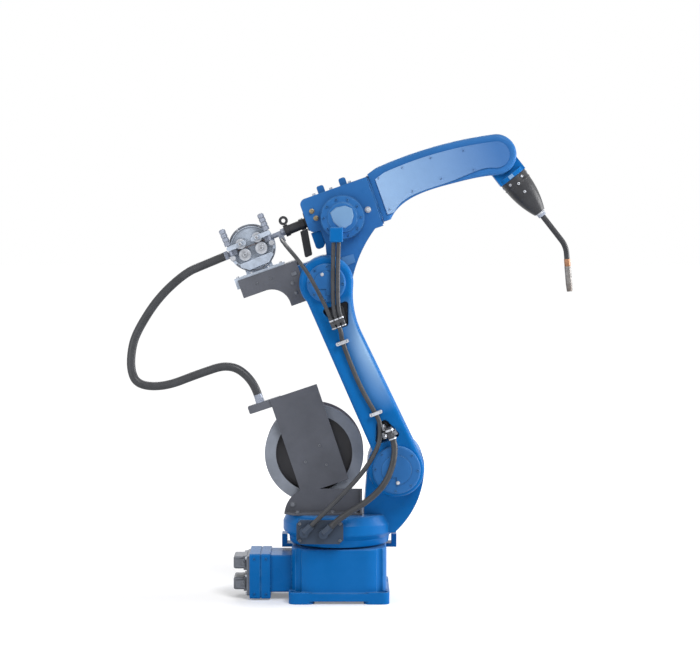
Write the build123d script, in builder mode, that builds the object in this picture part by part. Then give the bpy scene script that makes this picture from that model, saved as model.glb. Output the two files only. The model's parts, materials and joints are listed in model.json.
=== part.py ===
"""Six-axis arc welding robot arm with its wire reel, wire feeder and torch.

Millimetres, +Z up. The origin is on the floor under the swivel axis, +X is the way the arm reaches,
and -Y is the side that carries the lower arm and its hoses.
"""
from build123d import *
from math import cos, radians, sin, sqrt, tan
import os

os.makedirs("parts", exist_ok=True)

# Joint layout
shoulder_reach = 172
shoulder_height = 410
lower_arm_length = 596
elbow_rise = 190
forearm_length = 610
arm_lean = 20.6
forearm_pitch = 19.5
tool_pitch = -52

right_angle = 90

# Clearances shared by all pieces
joint_gap = 0.3
seat_gap = 0.3
link_gap = 6
overrun = 5

# Side layout, measured across the arm
link_half = 84
arm_depth = 76
arm_far_y = -link_half - link_gap
arm_near_y = arm_far_y - arm_depth


def turned(point, tilt, along, up):
    """The (x, z) of a place given along and up from a point in a frame turned up by tilt degrees."""
    c, s = cos(radians(tilt)), sin(radians(tilt))
    return (point[0] + along * c - up * s, point[1] + along * s + up * c)


def side_plane(point, tilt, y):
    """Plane seen from the -Y side, with its x turned up by tilt degrees. It extrudes towards -Y."""
    c, s = cos(radians(tilt)), sin(radians(tilt))
    return Plane(origin=(point[0], y, point[1]), x_dir=(c, 0, s), z_dir=(0, -1, 0))


def axis_plane(point, tilt, along, y=0):
    """Plane square to the direction that is turned up by tilt degrees, a distance along it."""
    c, s = cos(radians(tilt)), sin(radians(tilt))
    x, z = turned(point, tilt, along, 0)
    return Plane(origin=(x, y, z), x_dir=(0, 1, 0), z_dir=(c, 0, s))


def ring_point(radius, sideways):
    """The place on a circle, up from its centre, that lies sideways from it."""
    return sqrt(radius**2 - sideways**2)


def bend_radii(points, share=0.45):
    """The largest arcs that the runs of a hose leave room for, one for each corner."""
    places = [Vector(*p) for p in points]
    radii = []
    for before, corner, after in zip(places, places[1:], places[2:]):
        turn = radians((corner - before).get_angle(after - corner))
        shorter = min((corner - before).length, (after - corner).length)
        radii.append(share * shorter / tan(turn / 2))
    return radii


def hose_path(points):
    """The line of a hose: its runs, joined by tangent arcs."""
    return FilletPolyline(*points, radius=bend_radii(points))


def save(piece, name):
    """Labels a finished piece and writes its file."""
    piece.part.label = name
    export_step(piece.part, f"parts/{name}.step")


shoulder = (shoulder_reach, shoulder_height)
elbow = turned(shoulder, arm_lean, 0, lower_arm_length)
forearm_foot = turned(elbow, forearm_pitch, 0, elbow_rise)
wrist = turned(forearm_foot, forearm_pitch, forearm_length, 0)

# Base casting: corner pads, flange, rounded pedestal and the neck of the rear box
flange_half = 152
flange_thick = 24
flange_corner = 22
flange_relief = 9
pad_size = 78
pad_height = 36
bolt_half = 130
bolt_hole = 18
spot_face = 34
spot_depth = 4
pedestal_half = 144
pedestal_corner = 70
pedestal_height = 165
pedestal_edge = 6
foot_fillet = 6
neck_end = 208
neck_half = 76
neck_low = 24
neck_high = 138
neck_edge = 8
stop_inner = 160
stop_thick = 16
stop_wide = 60
stop_y = 52
stop_low = 148
stop_high = 188
with BuildPart() as base_casting:
    with BuildSketch(Plane.XY.offset(flange_relief)):
        RectangleRounded(2 * flange_half, 2 * flange_half, flange_corner)
    extrude(amount=flange_thick)
    with BuildSketch(Plane.XY.offset(flange_relief)):
        RectangleRounded(2 * pedestal_half, 2 * pedestal_half, pedestal_corner)
    extrude(amount=pedestal_height - flange_relief)
    top_face = base_casting.faces().sort_by(Axis.Z)[-1]
    fillet(top_face.edges(), pedestal_edge)
    flange_top = base_casting.faces().filter_by(Axis.Z).sort_by(Axis.Z)[-2]
    fillet(flange_top.inner_wires().edges(), foot_fillet)
    with BuildSketch():
        with GridLocations(2 * flange_half - pad_size, 2 * flange_half - pad_size, 2, 2):
            RectangleRounded(pad_size, pad_size, flange_corner)
    extrude(amount=pad_height)
    with BuildSketch(Plane.YZ.offset(-neck_end)):
        with Locations((0, (neck_low + neck_high) / 2)):
            RectangleRounded(2 * neck_half, neck_high - neck_low, neck_edge)
    extrude(amount=neck_end - pedestal_half + pedestal_edge)
    with Locations((0, 0, pad_height)):
        with GridLocations(2 * bolt_half, 2 * bolt_half, 2, 2):
            CounterBoreHole(bolt_hole / 2, spot_face / 2, spot_depth)
    stop_outer = stop_inner + stop_thick
    stop_root = pedestal_half - pedestal_edge
    stop_middle = stop_inner + stop_thick / 2
    root_middle = (stop_outer + stop_root) / 2
    with BuildSketch(Plane.XY.offset(stop_low)):
        with Locations((root_middle, stop_y), (-root_middle, stop_y)):
            Rectangle(stop_outer - stop_root, stop_wide)
    extrude(amount=pedestal_height - pedestal_edge - stop_low)
    with BuildSketch(Plane.XY.offset(stop_low)):
        with Locations((stop_middle, stop_y), (-stop_middle, stop_y)):
            Rectangle(stop_thick, stop_wide)
    extrude(amount=stop_high - stop_low)
save(base_casting, "base_casting")

# Rear connection box, its panel and the two plug housings on it
box_end = 272
box_half = 84
box_low = 5
box_high = 142
box_edge = 7
lid_groove = 4
lid_groove_depth = 2
with BuildPart() as rear_box:
    with BuildSketch(Plane.YZ.offset(-box_end)):
        with Locations((0, (box_low + box_high) / 2)):
            RectangleRounded(2 * box_half, box_high - box_low, box_edge)
    extrude(amount=box_end - neck_end)
    fillet(rear_box.faces().sort_by(Axis.X)[-1].edges(), box_edge / 2)
    with BuildSketch(Plane.YZ.offset(-(box_end + neck_end) / 2)):
        with Locations((0, (box_low + box_high) / 2)):
            RectangleRounded(2 * box_half + overrun, box_high - box_low + overrun, box_edge)
            RectangleRounded(
                2 * (box_half - lid_groove_depth),
                box_high - box_low - 2 * lid_groove_depth,
                box_edge,
                mode=Mode.SUBTRACT,
            )
    extrude(amount=lid_groove, mode=Mode.SUBTRACT)
save(rear_box, "rear_box")

panel_thick = 9
panel_inset = 8
panel_edge = 2
with BuildPart() as connector_panel:
    with BuildSketch(Plane.YZ.offset(-box_end - panel_thick)):
        with Locations((0, (box_low + box_high) / 2)):
            RectangleRounded(2 * (box_half - panel_inset), box_high - box_low - 2 * panel_inset, box_edge)
    extrude(amount=panel_thick)
    chamfer(connector_panel.faces().sort_by(Axis.X)[0].edges(), panel_edge)
save(connector_panel, "connector_panel")

plug_out = 41
plug_width = 96
plug_height = 38
plug_pitch = 64
plug_rise = 5
plug_edge = 6
plug_flange = 10
plug_flange_rim = 7
with BuildPart() as rear_plugs:
    with BuildSketch(Plane.YZ.offset(-box_end - panel_thick)):
        with Locations((0, (box_low + box_high) / 2 + plug_rise)):
            with GridLocations(0, plug_pitch, 1, 2):
                RectangleRounded(plug_width + 2 * plug_flange_rim, plug_height + plug_flange_rim, plug_edge)
    extrude(amount=-plug_flange)
    with BuildSketch(Plane.YZ.offset(-box_end - panel_thick - plug_flange)):
        with Locations((0, (box_low + box_high) / 2 + plug_rise)):
            with GridLocations(0, plug_pitch, 1, 2):
                RectangleRounded(plug_width, plug_height, plug_edge)
    extrude(amount=plug_flange - plug_out)
    outer_faces = rear_plugs.faces().filter_by(Axis.X).group_by(Axis.X)[0]
    fillet(outer_faces.edges(), plug_edge)
save(rear_plugs, "rear_plugs")

# Turret: a flared bowl that turns on the base, with the shoulder upright and the hose plate's boss
turret_seat = 118
turret_under = 130
turret_rim = 171
turret_top_radius = 158
turret_low = pedestal_height + link_gap
rim_low = 208
rim_high = 236
turret_top = 264
rim_fillet = 9
upright_radius = 86
upright_far_y = 96
upright_left = 70
upright_toe = 168
upright_fillet = 8
shoulder_boss = 64
boss_left = -122
boss_right = 8
boss_low = 193
boss_high = turret_top - rim_fillet
plate_seat_y = -178
with BuildPart() as turret_casting:
    with BuildSketch(Plane.XZ):
        with BuildLine():
            Polyline(
                (0, turret_low),
                (turret_under, turret_low),
                (turret_rim, rim_low),
                (turret_rim, rim_high),
                (turret_top_radius, turret_top),
                (0, turret_top),
                close=True,
            )
        make_face()
    revolve(axis=Axis.Z)
    fillet(turret_casting.edges().filter_by(GeomType.CIRCLE).group_by(Axis.Z)[-1], rim_fillet)
    fillet(turret_casting.edges().filter_by(GeomType.CIRCLE).group_by(Axis.Z)[1:3], rim_fillet)
    with BuildSketch(Plane.XY.offset(pedestal_height + joint_gap)):
        Circle(turret_seat)
    extrude(amount=link_gap)
    with BuildSketch(side_plane((0, 0), 0, plate_seat_y)):
        with BuildLine():
            Polyline(
                (boss_left, boss_low),
                (boss_right, boss_low),
                (boss_right, boss_high),
                (boss_left, boss_high),
                close=True,
            )
        make_face()
    extrude(amount=plate_seat_y)
    with BuildSketch(side_plane((0, 0), 0, upright_far_y)):
        with BuildLine():
            hub_left = (shoulder_reach - upright_radius, shoulder_height)
            hub_top = (shoulder_reach, shoulder_height + upright_radius)
            hub_right = (shoulder_reach + upright_radius, shoulder_height)
            ThreePointArc(hub_left, hub_top, hub_right)
            TangentArc(hub_right, (upright_toe, rim_low), tangent=(0, -1))
            Polyline((upright_toe, rim_low), (upright_left, rim_low), hub_left)
        make_face()
    extrude(amount=upright_far_y + link_half)
    with BuildSketch(side_plane(shoulder, 0, -link_half)):
        Circle(shoulder_boss)
    extrude(amount=link_gap - joint_gap)
save(turret_casting, "turret_casting")

# Servo motors of the shoulder and the elbow, on the far side
motor_flange_radius = 66
motor_flange_thick = 16
motor_size = 98
motor_corner = 14
motor_length = 112
motor_rib = 5
motor_rib_step = 14
motor_cap_size = 84
motor_cap_length = 22
motor_plug = 30


def servo_motor(centre, tilt, far_y):
    """A flanged square motor with cooling grooves, an end cap and a plug box on top."""
    with BuildPart() as motor:
        with BuildSketch(side_plane(centre, tilt, far_y + motor_flange_thick)):
            Circle(motor_flange_radius)
        extrude(amount=motor_flange_thick)
        with BuildSketch(side_plane(centre, tilt, far_y + motor_flange_thick + motor_length)):
            RectangleRounded(motor_size, motor_size, motor_corner)
        extrude(amount=motor_length)
        with BuildSketch(
            side_plane(centre, tilt, far_y + motor_flange_thick + motor_length + motor_cap_length)
        ):
            RectangleRounded(motor_cap_size, motor_cap_size, motor_corner)
        extrude(amount=motor_cap_length)
        fillet(motor.faces().sort_by(Axis.Y)[-1].edges(), motor_rib)
        for count in range(1, int(motor_length / motor_rib_step) - 1):
            groove_y = far_y + motor_flange_thick + count * motor_rib_step + motor_rib
            with BuildSketch(side_plane(centre, tilt, groove_y)):
                RectangleRounded(motor_size + overrun, motor_size + overrun, motor_corner)
                RectangleRounded(
                    motor_size - motor_rib, motor_size - motor_rib, motor_corner, mode=Mode.SUBTRACT
                )
            extrude(amount=motor_rib, mode=Mode.SUBTRACT)
        plug_y = far_y + motor_flange_thick + motor_length + motor_cap_length - motor_rib
        with BuildSketch(side_plane(centre, tilt, plug_y)):
            with Locations((0, motor_size / 2)):
                RectangleRounded(motor_plug, motor_plug, motor_rib)
        extrude(amount=motor_plug)
    return motor


save(servo_motor(shoulder, 0, upright_far_y), "shoulder_motor")

# Hose plate on the turret, with two angled glands
hose_plate_thick = 6
hose_plate_rim = 5
hose_plate_cut = 12
gland_radius = 14
gland_out = 24
gland_nose_radius = 12.5
gland_nose = 30
gland_slope = 45
thin_gland = (-104, 224)
thick_gland = (-46, 221)
gland_y = plate_seat_y - hose_plate_thick - gland_out + gland_radius / 2
with BuildPart() as hose_plate:
    with BuildSketch(side_plane((0, 0), 0, plate_seat_y)):
        with Locations(((boss_left + boss_right) / 2, (boss_low + boss_high) / 2)):
            Rectangle(
                boss_right - boss_left + 2 * hose_plate_rim, boss_high - boss_low + 2 * hose_plate_rim
            )
        chamfer(vertices(), hose_plate_cut)
    extrude(amount=hose_plate_thick)
    with BuildSketch(side_plane((0, 0), 0, plate_seat_y - hose_plate_thick)):
        with Locations(thin_gland, thick_gland):
            Circle(gland_radius)
    extrude(amount=gland_out)
    for place in (thin_gland, thick_gland):
        with BuildSketch(axis_plane(place, gland_slope, 0, gland_y)):
            RegularPolygon(gland_nose_radius, 6)
        extrude(amount=gland_nose)
save(hose_plate, "hose_plate")

# Wire reel stand: a foot on the turret, a sloping web and the tilted upright plate
reel_axis = (-76, 446)
reel_tilt = 18.5
sheet = 6
upright_y = -66
upright_half_width = 75
upright_up = 199
foot_back = -166
foot_front = 70
foot_near_y = -112
foot_far_y = -40
foot_height = 340
foot_corner = 62
foot_curve = 84
web_slope_run = 30
with BuildPart() as reel_stand:
    with BuildSketch(Plane.XY.offset(turret_top)):
        with BuildLine():
            Polyline(
                (foot_back, foot_far_y),
                (foot_back, foot_near_y + web_slope_run),
                (foot_back + web_slope_run, foot_near_y),
                (foot_front, foot_near_y),
                (foot_front, foot_far_y),
                close=True,
            )
        make_face()
    extrude(amount=sheet)
    with BuildSketch(side_plane((0, 0), 0, upright_y)):
        with BuildLine():
            Line((foot_back, turret_top), (foot_front, turret_top))
            Line((foot_front, turret_top), (foot_front, foot_height))
            Line((foot_front, foot_height), (foot_back + foot_corner, foot_height))
            RadiusArc(
                (foot_back + foot_corner, foot_height),
                (foot_back, turret_top),
                -foot_curve,
            )
        make_face()
    extrude(amount=sheet)
    with BuildSketch(side_plane(reel_axis, reel_tilt, upright_y)):
        upright_down = reel_axis[1] - foot_height
        with Locations((0, (upright_up - upright_down) / 2)):
            Rectangle(2 * upright_half_width, upright_up + upright_down)
    extrude(amount=sheet)
    with BuildSketch(Plane.YZ.offset(foot_front)):
        with BuildLine():
            Polyline(
                (upright_y - sheet, turret_top + sheet),
                (foot_near_y, turret_top + sheet),
                (upright_y - sheet, foot_height),
                close=True,
            )
        make_face()
    extrude(amount=-sheet)
save(reel_stand, "reel_stand")

# Reel spindle, with its flange on the upright and its end nut
spindle_radius = 25
spindle_flange_radius = 46
spindle_flange = 8
spool_width = 103
spool_gap = 4
nut_radius = 42
nut_thick = 12
nut_lobes = 6
spool_near_y = upright_y + spindle_flange + spool_gap
spool_far_y = spool_near_y + spool_width
with BuildPart() as reel_spindle:
    with BuildSketch(side_plane(reel_axis, reel_tilt, upright_y + spindle_flange)):
        Circle(spindle_flange_radius)
    extrude(amount=spindle_flange)
    with BuildSketch(side_plane(reel_axis, reel_tilt, spool_far_y + spool_gap + nut_thick)):
        Circle(spindle_radius)
    extrude(amount=spool_far_y + spool_gap + nut_thick - upright_y - spindle_flange)
    with BuildSketch(side_plane(reel_axis, reel_tilt, spool_far_y + spool_gap + nut_thick)):
        RegularPolygon(nut_radius, nut_lobes)
    extrude(amount=nut_thick)
save(reel_spindle, "reel_spindle")

# Wire spool and the wire wound on it
spool_radius = 150
barrel_radius = 119
barrel_wall = 4
rim_thick = 5
hub_radius = 36
hub_web = 5
hub_web_depth = 22
wire_radius = 141
spool_bore = spindle_radius + seat_gap
with BuildPart() as wire_spool:
    with BuildSketch(Plane.XY):
        near, far = spool_near_y, spool_far_y
        inner_barrel = barrel_radius - barrel_wall
        with BuildLine():
            Polyline(
                (spool_bore, near),
                (hub_radius, near),
                (hub_radius, near + hub_web_depth),
                (inner_barrel, near + hub_web_depth),
                (inner_barrel, near),
                (spool_radius, near),
                (spool_radius, near + rim_thick),
                (barrel_radius, near + rim_thick),
                (barrel_radius, far - rim_thick),
                (spool_radius, far - rim_thick),
                (spool_radius, far),
                (inner_barrel, far),
                (inner_barrel, near + hub_web_depth + hub_web),
                (hub_radius, near + hub_web_depth + hub_web),
                (hub_radius, far),
                (spool_bore, far),
                close=True,
            )
        make_face()
    revolve(axis=Axis.Y)
wire_spool.part.position = (reel_axis[0], 0, reel_axis[1])
save(wire_spool, "wire_spool")

with BuildPart() as wound_wire:
    with BuildSketch(side_plane(reel_axis, 0, spool_far_y - rim_thick - seat_gap)):
        Circle(wire_radius)
        Circle(barrel_radius + seat_gap, mode=Mode.SUBTRACT)
    extrude(amount=spool_width - 2 * rim_thick - 2 * seat_gap)
save(wound_wire, "wound_wire")

# Guide bar on the stand that holds the lower end of the wire conduit
bar_size = 24
bar_outer = 146
bar_inner = 40
bar_edge = 4
fitting_along = -105
fitting_radius = 15
fitting_nut = 11
ferrule_radius = 13
ferrule_length = 15
conduit_size = 26
bar_y = upright_y + bar_size / 2
bar_top = upright_up
with BuildPart() as guide_bar:
    with BuildSketch(side_plane(reel_axis, reel_tilt, upright_y + bar_size)):
        with Locations((-(bar_outer + bar_inner) / 2, bar_top - bar_size / 2)):
            RectangleRounded(bar_outer - bar_inner, bar_size, bar_edge)
    extrude(amount=bar_size)
save(guide_bar, "guide_bar")

with BuildPart() as reel_fitting:
    fitting_x, fitting_z = turned(reel_axis, reel_tilt, fitting_along, bar_top)
    fitting_plane = axis_plane((fitting_x, fitting_z), reel_tilt + right_angle, 0, bar_y)
    with BuildSketch(fitting_plane):
        RegularPolygon(fitting_radius, 6)
    extrude(amount=fitting_nut)
    with BuildSketch(fitting_plane.offset(fitting_nut)):
        Circle(ferrule_radius)
    extrude(amount=ferrule_length)
save(reel_fitting, "reel_fitting")

# Lower arm: a tapered box casting between two round hubs, with pockets for the hose glands
lower_hub = 84
upper_hub = 81
arm_back_low = 48
arm_back_high = 74
front_lean = 5.2
throat_radius = 270
arm_round = 16
pocket_depth = 30
pocket_drop = 70
pocket_tall = 72
pocket_fillet = 10
upper_pocket_high = lower_arm_length - pocket_drop
upper_pocket_low = lower_arm_length - pocket_drop - pocket_tall
upper_pocket_top = 88
upper_pocket_bottom = 34
lower_pocket_high = 152
lower_pocket_low = 90
lower_pocket_top = 30
lower_pocket_bottom = 84
lower_pocket_shift = 8
lean_cos, lean_sin = cos(radians(front_lean)), sin(radians(front_lean))
hub_in = lower_hub - lower_arm_length * lean_sin
hub_reach = upper_hub + throat_radius
throat_up = lower_arm_length * lean_cos - ring_point(hub_reach, throat_radius + hub_in)


def front_point(out, up):
    """A place out from the shoulder and up along the straight front of the lower arm."""
    return (out * lean_cos - up * lean_sin, out * lean_sin + up * lean_cos)


with BuildPart() as lower_arm_casting:
    with BuildSketch(side_plane(shoulder, arm_lean, arm_far_y)):
        with BuildLine():
            back_low = (-arm_back_low, ring_point(lower_hub, arm_back_low))
            back_high = (-arm_back_high, lower_arm_length - ring_point(upper_hub, arm_back_high))
            front_low = front_point(lower_hub, 0)
            front_high = front_point(lower_hub, throat_up)
            throat = front_point(lower_hub + throat_radius, throat_up)
            hub_foot = (
                throat[0] * upper_hub / hub_reach,
                lower_arm_length + (throat[1] - lower_arm_length) * upper_hub / hub_reach,
            )
            Line(back_low, back_high)
            ThreePointArc(back_high, (0, lower_arm_length + upper_hub), hub_foot)
            TangentArc(front_high, hub_foot, tangent=(-lean_sin, lean_cos))
            Line(front_high, front_low)
            ThreePointArc(front_low, (0, -lower_hub), back_low)
        make_face()
    extrude(amount=arm_depth)
    fillet(lower_arm_casting.faces().sort_by(Axis.Y)[0].edges(), arm_round)
    with BuildSketch(side_plane(shoulder, arm_lean, arm_near_y + pocket_depth)):
        with BuildLine():
            Polyline(
                (-upper_pocket_top / 2, upper_pocket_high),
                (-upper_pocket_bottom / 2, upper_pocket_low),
                (upper_pocket_bottom / 2, upper_pocket_low),
                (upper_pocket_top / 2, upper_pocket_high),
                close=True,
            )
        make_face()
        with BuildLine():
            Polyline(
                (lower_pocket_shift - lower_pocket_top / 2, lower_pocket_high),
                (lower_pocket_shift - lower_pocket_bottom / 2, lower_pocket_low),
                (lower_pocket_shift + lower_pocket_bottom / 2, lower_pocket_low),
                (lower_pocket_shift + lower_pocket_top / 2, lower_pocket_high),
                close=True,
            )
        make_face()
        fillet(vertices(), pocket_fillet)
    extrude(amount=pocket_depth + overrun, mode=Mode.SUBTRACT)
save(lower_arm_casting, "lower_arm_casting")

# Round covers over the shoulder and elbow hubs, each with a raised flat
shoulder_cover_radius = 72
elbow_cover_radius = 58
cover_thick = 14
cover_round = 6
cover_pad_share = 0.62
cover_pad = 3
cover_cut_share = 0.3
with BuildPart() as hub_covers:
    hub_list = ((0, shoulder_cover_radius), (lower_arm_length, elbow_cover_radius))
    for height, radius in hub_list:
        hub_place = turned(shoulder, arm_lean, 0, height)
        with BuildSketch(side_plane(hub_place, arm_lean, arm_near_y)):
            Circle(radius)
        extrude(amount=cover_thick)
    fillet(hub_covers.faces().filter_by(Axis.Y).group_by(Axis.Y)[0].edges(), cover_round)
    for height, radius in hub_list:
        hub_place = turned(shoulder, arm_lean, 0, height)
        with BuildSketch(side_plane(hub_place, 0, arm_near_y - cover_thick)):
            Circle(cover_pad_share * radius)
            with Locations((-radius, -cover_cut_share * radius)):
                Rectangle(2 * radius, radius, align=(Align.CENTER, Align.MAX), mode=Mode.SUBTRACT)
        extrude(amount=cover_pad)
save(hub_covers, "hub_covers")

# Gland bar in the lower arm's upper pocket
gland_plate = 5
pocket_gap = 3
gland_body = 7
gland_hex = 8.5
gland_hex_length = 11
gland_length = 38
gland_drop = 8
gland_bar = 10
gland_post = 26
hose_stand_off = 34
hose_y = arm_near_y - hose_stand_off
pocket_floor_y = arm_near_y + pocket_depth
thick_hose = 20
thin_hose = 14
elbow_hose = 13
feeder_cable_size = 12
elbow_gland_places = (-24, -9, 6)
gland_sink = 99
gland_top = lower_arm_length - gland_sink
gland_foot = gland_top - gland_length
gland_mid = gland_foot + gland_length / 2
inset = pocket_gap + gland_drop
with BuildPart() as elbow_glands:
    with BuildSketch(side_plane(shoulder, arm_lean, pocket_floor_y)):
        with BuildLine():
            Polyline(
                (-upper_pocket_top / 2 + 2 * inset, upper_pocket_high - inset),
                (-upper_pocket_bottom / 2, upper_pocket_low + inset),
                (upper_pocket_bottom / 2, upper_pocket_low + inset),
                (upper_pocket_top / 2 - 2 * inset, upper_pocket_high - inset),
                close=True,
            )
        make_face()
    extrude(amount=gland_plate)
    with BuildSketch(side_plane(shoulder, arm_lean, pocket_floor_y - gland_plate)):
        with Locations((elbow_gland_places[1], gland_mid)):
            Rectangle(gland_post, gland_hex_length)
    extrude(amount=pocket_floor_y - gland_plate - hose_y)
    with BuildSketch(side_plane(shoulder, arm_lean, hose_y + gland_bar / 2)):
        with Locations((elbow_gland_places[1], gland_mid)):
            Rectangle(elbow_gland_places[2] - elbow_gland_places[0], gland_hex_length)
    extrude(amount=gland_bar)
    for across in elbow_gland_places:
        gland_place = turned(shoulder, arm_lean, across, gland_foot)
        gland_plane = axis_plane(gland_place, arm_lean + right_angle, 0, hose_y)
        with BuildSketch(gland_plane):
            Circle(gland_body)
        extrude(amount=gland_length)
        with BuildSketch(gland_plane.offset(gland_length - 2 * gland_hex_length)):
            RegularPolygon(gland_hex, 6)
        extrude(amount=gland_hex_length)
save(elbow_glands, "elbow_glands")

# Glands at the lower end of the lower arm
shoulder_gland_across = 22
shoulder_gland_high = 130
shoulder_gland_end = shoulder_gland_high - gland_length
shoulder_gland_body = 11
shoulder_gland_hex = 13
stem_width = 20
with BuildPart() as shoulder_glands:
    with BuildSketch(side_plane(shoulder, arm_lean, pocket_floor_y)):
        with BuildLine():
            Polyline(
                (lower_pocket_shift - lower_pocket_top / 2 + pocket_gap, lower_pocket_high - inset),
                (lower_pocket_shift - lower_pocket_bottom / 2 + 2 * inset, lower_pocket_low + inset),
                (lower_pocket_shift + lower_pocket_bottom / 2 - 2 * inset, lower_pocket_low + inset),
                (lower_pocket_shift + lower_pocket_top / 2 - pocket_gap, lower_pocket_high - inset),
                close=True,
            )
        make_face()
    extrude(amount=gland_plate)
    with BuildSketch(side_plane(shoulder, arm_lean, pocket_floor_y - gland_plate)):
        with Locations((shoulder_gland_across, shoulder_gland_high - stem_width / 2)):
            Rectangle(stem_width, stem_width)
    extrude(amount=pocket_floor_y - gland_plate - hose_y)
    gland_place = turned(shoulder, arm_lean, shoulder_gland_across, shoulder_gland_end)
    gland_plane = axis_plane(gland_place, arm_lean + right_angle, 0, hose_y)
    with BuildSketch(gland_plane):
        Circle(shoulder_gland_body)
    extrude(amount=gland_length)
    with BuildSketch(gland_plane.offset(gland_drop)):
        RegularPolygon(shoulder_gland_hex, 6)
    extrude(amount=gland_hex_length)
save(shoulder_glands, "shoulder_glands")


def arm_point(across, up, y):
    """A place on the lower arm."""
    x, z = turned(shoulder, arm_lean, across, up)
    return (x, y, z)


def elbow_point(along, up, y):
    """A place on the elbow, along and up from the elbow axis."""
    x, z = turned(elbow, forearm_pitch, along, up)
    return (x, y, z)


def hose(points, diameter):
    """A round hose along its runs."""
    with BuildPart() as tube:
        with BuildLine() as line:
            hose_path(points)
        with BuildSketch(Plane(origin=line.line @ 0, z_dir=line.line % 0)):
            Circle(diameter / 2)
        sweep(path=line.line)
    return tube


# Hose that runs down the lower arm under two clamps
run_stand_off = 12
run_y = arm_near_y - run_stand_off
clamp_drop = 182
clamp_high = lower_arm_length - clamp_drop
clamp_low = 181
clamp_across = (-17, 2)
lead = 30
clamp_lead = 6
end_stand_off = 5
arm_hose_across = (-16, -10)
arm_hose_shares = (0.55, 0.26)
hose_end = arm_point(-thin_hose / 2, clamp_low - 2 * lead, run_y - end_stand_off)
above_end = (hose_end[0], hose_end[1], hose_end[2] + lead)
below_end = (hose_end[0], hose_end[1], hose_end[2] - lead)
arm_hose_places = [
    arm_point(across, clamp_low + share * (clamp_high - clamp_low), run_y)
    for across, share in zip(arm_hose_across, arm_hose_shares)
]
arm_hose = hose(
    (
        arm_point(elbow_gland_places[1], gland_foot - seat_gap, hose_y),
        arm_point(elbow_gland_places[1], gland_foot - lead / 2, hose_y),
        arm_point(clamp_across[0], clamp_high + clamp_lead, run_y),
        *arm_hose_places,
        arm_point(clamp_across[1], clamp_low - clamp_lead, run_y),
        above_end,
        hose_end,
    ),
    thin_hose,
)
save(arm_hose, "arm_hose")

clamp_width = 40
clamp_height = 10
clamp_round = 4
clamp_out = 24
clamp_clear = 3.5
with BuildPart() as hose_clamps:
    for across, up in zip(clamp_across, (clamp_high, clamp_low)):
        with BuildSketch(side_plane(shoulder, arm_lean, arm_near_y)):
            with Locations((across, up)):
                RectangleRounded(clamp_width, clamp_height, clamp_round)
        extrude(amount=clamp_out)
    for across, up in zip(clamp_across, (clamp_high, clamp_low)):
        hole_place = turned(shoulder, arm_lean, across, up - clamp_height)
        with BuildSketch(axis_plane(hole_place, arm_lean + right_angle, 0, run_y)):
            Circle(thin_hose / 2 + clamp_clear)
        extrude(amount=2 * clamp_height, mode=Mode.SUBTRACT)
save(hose_clamps, "hose_clamps")

# Hoses that bridge the shoulder joint
nose_x = gland_nose * cos(radians(gland_slope))
start_x = nose_x + seat_gap
lead_x = nose_x + lead
thin_start = (thin_gland[0] + start_x, gland_y, thin_gland[1] + start_x)
thin_lead = (thin_gland[0] + lead_x, gland_y, thin_gland[1] + lead_x)
thick_start = (thick_gland[0] + start_x, gland_y, thick_gland[1] + start_x)
thick_lead = (thick_gland[0] + lead_x, gland_y, thick_gland[1] + lead_x)
thin_route = ((24, 352), (84, 422))
thick_route = ((90, 322), (148, 384))
route_bulge = 4
arm_hose_span = hose(
    (
        thin_start,
        thin_lead,
        *[(x, gland_y - route_bulge, z) for x, z in thin_route],
        below_end,
        (hose_end[0], hose_end[1], hose_end[2] - seat_gap),
    ),
    thin_hose,
)
save(arm_hose_span, "arm_hose_span")
shoulder_hose = hose(
    (
        thick_start,
        thick_lead,
        *[(x, gland_y - 2 * route_bulge, z) for x, z in thick_route],
        arm_point(shoulder_gland_across, shoulder_gland_end - lead, hose_y),
        arm_point(shoulder_gland_across, shoulder_gland_end - seat_gap, hose_y),
    ),
    thick_hose,
)
save(shoulder_hose, "shoulder_hose")

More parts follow.
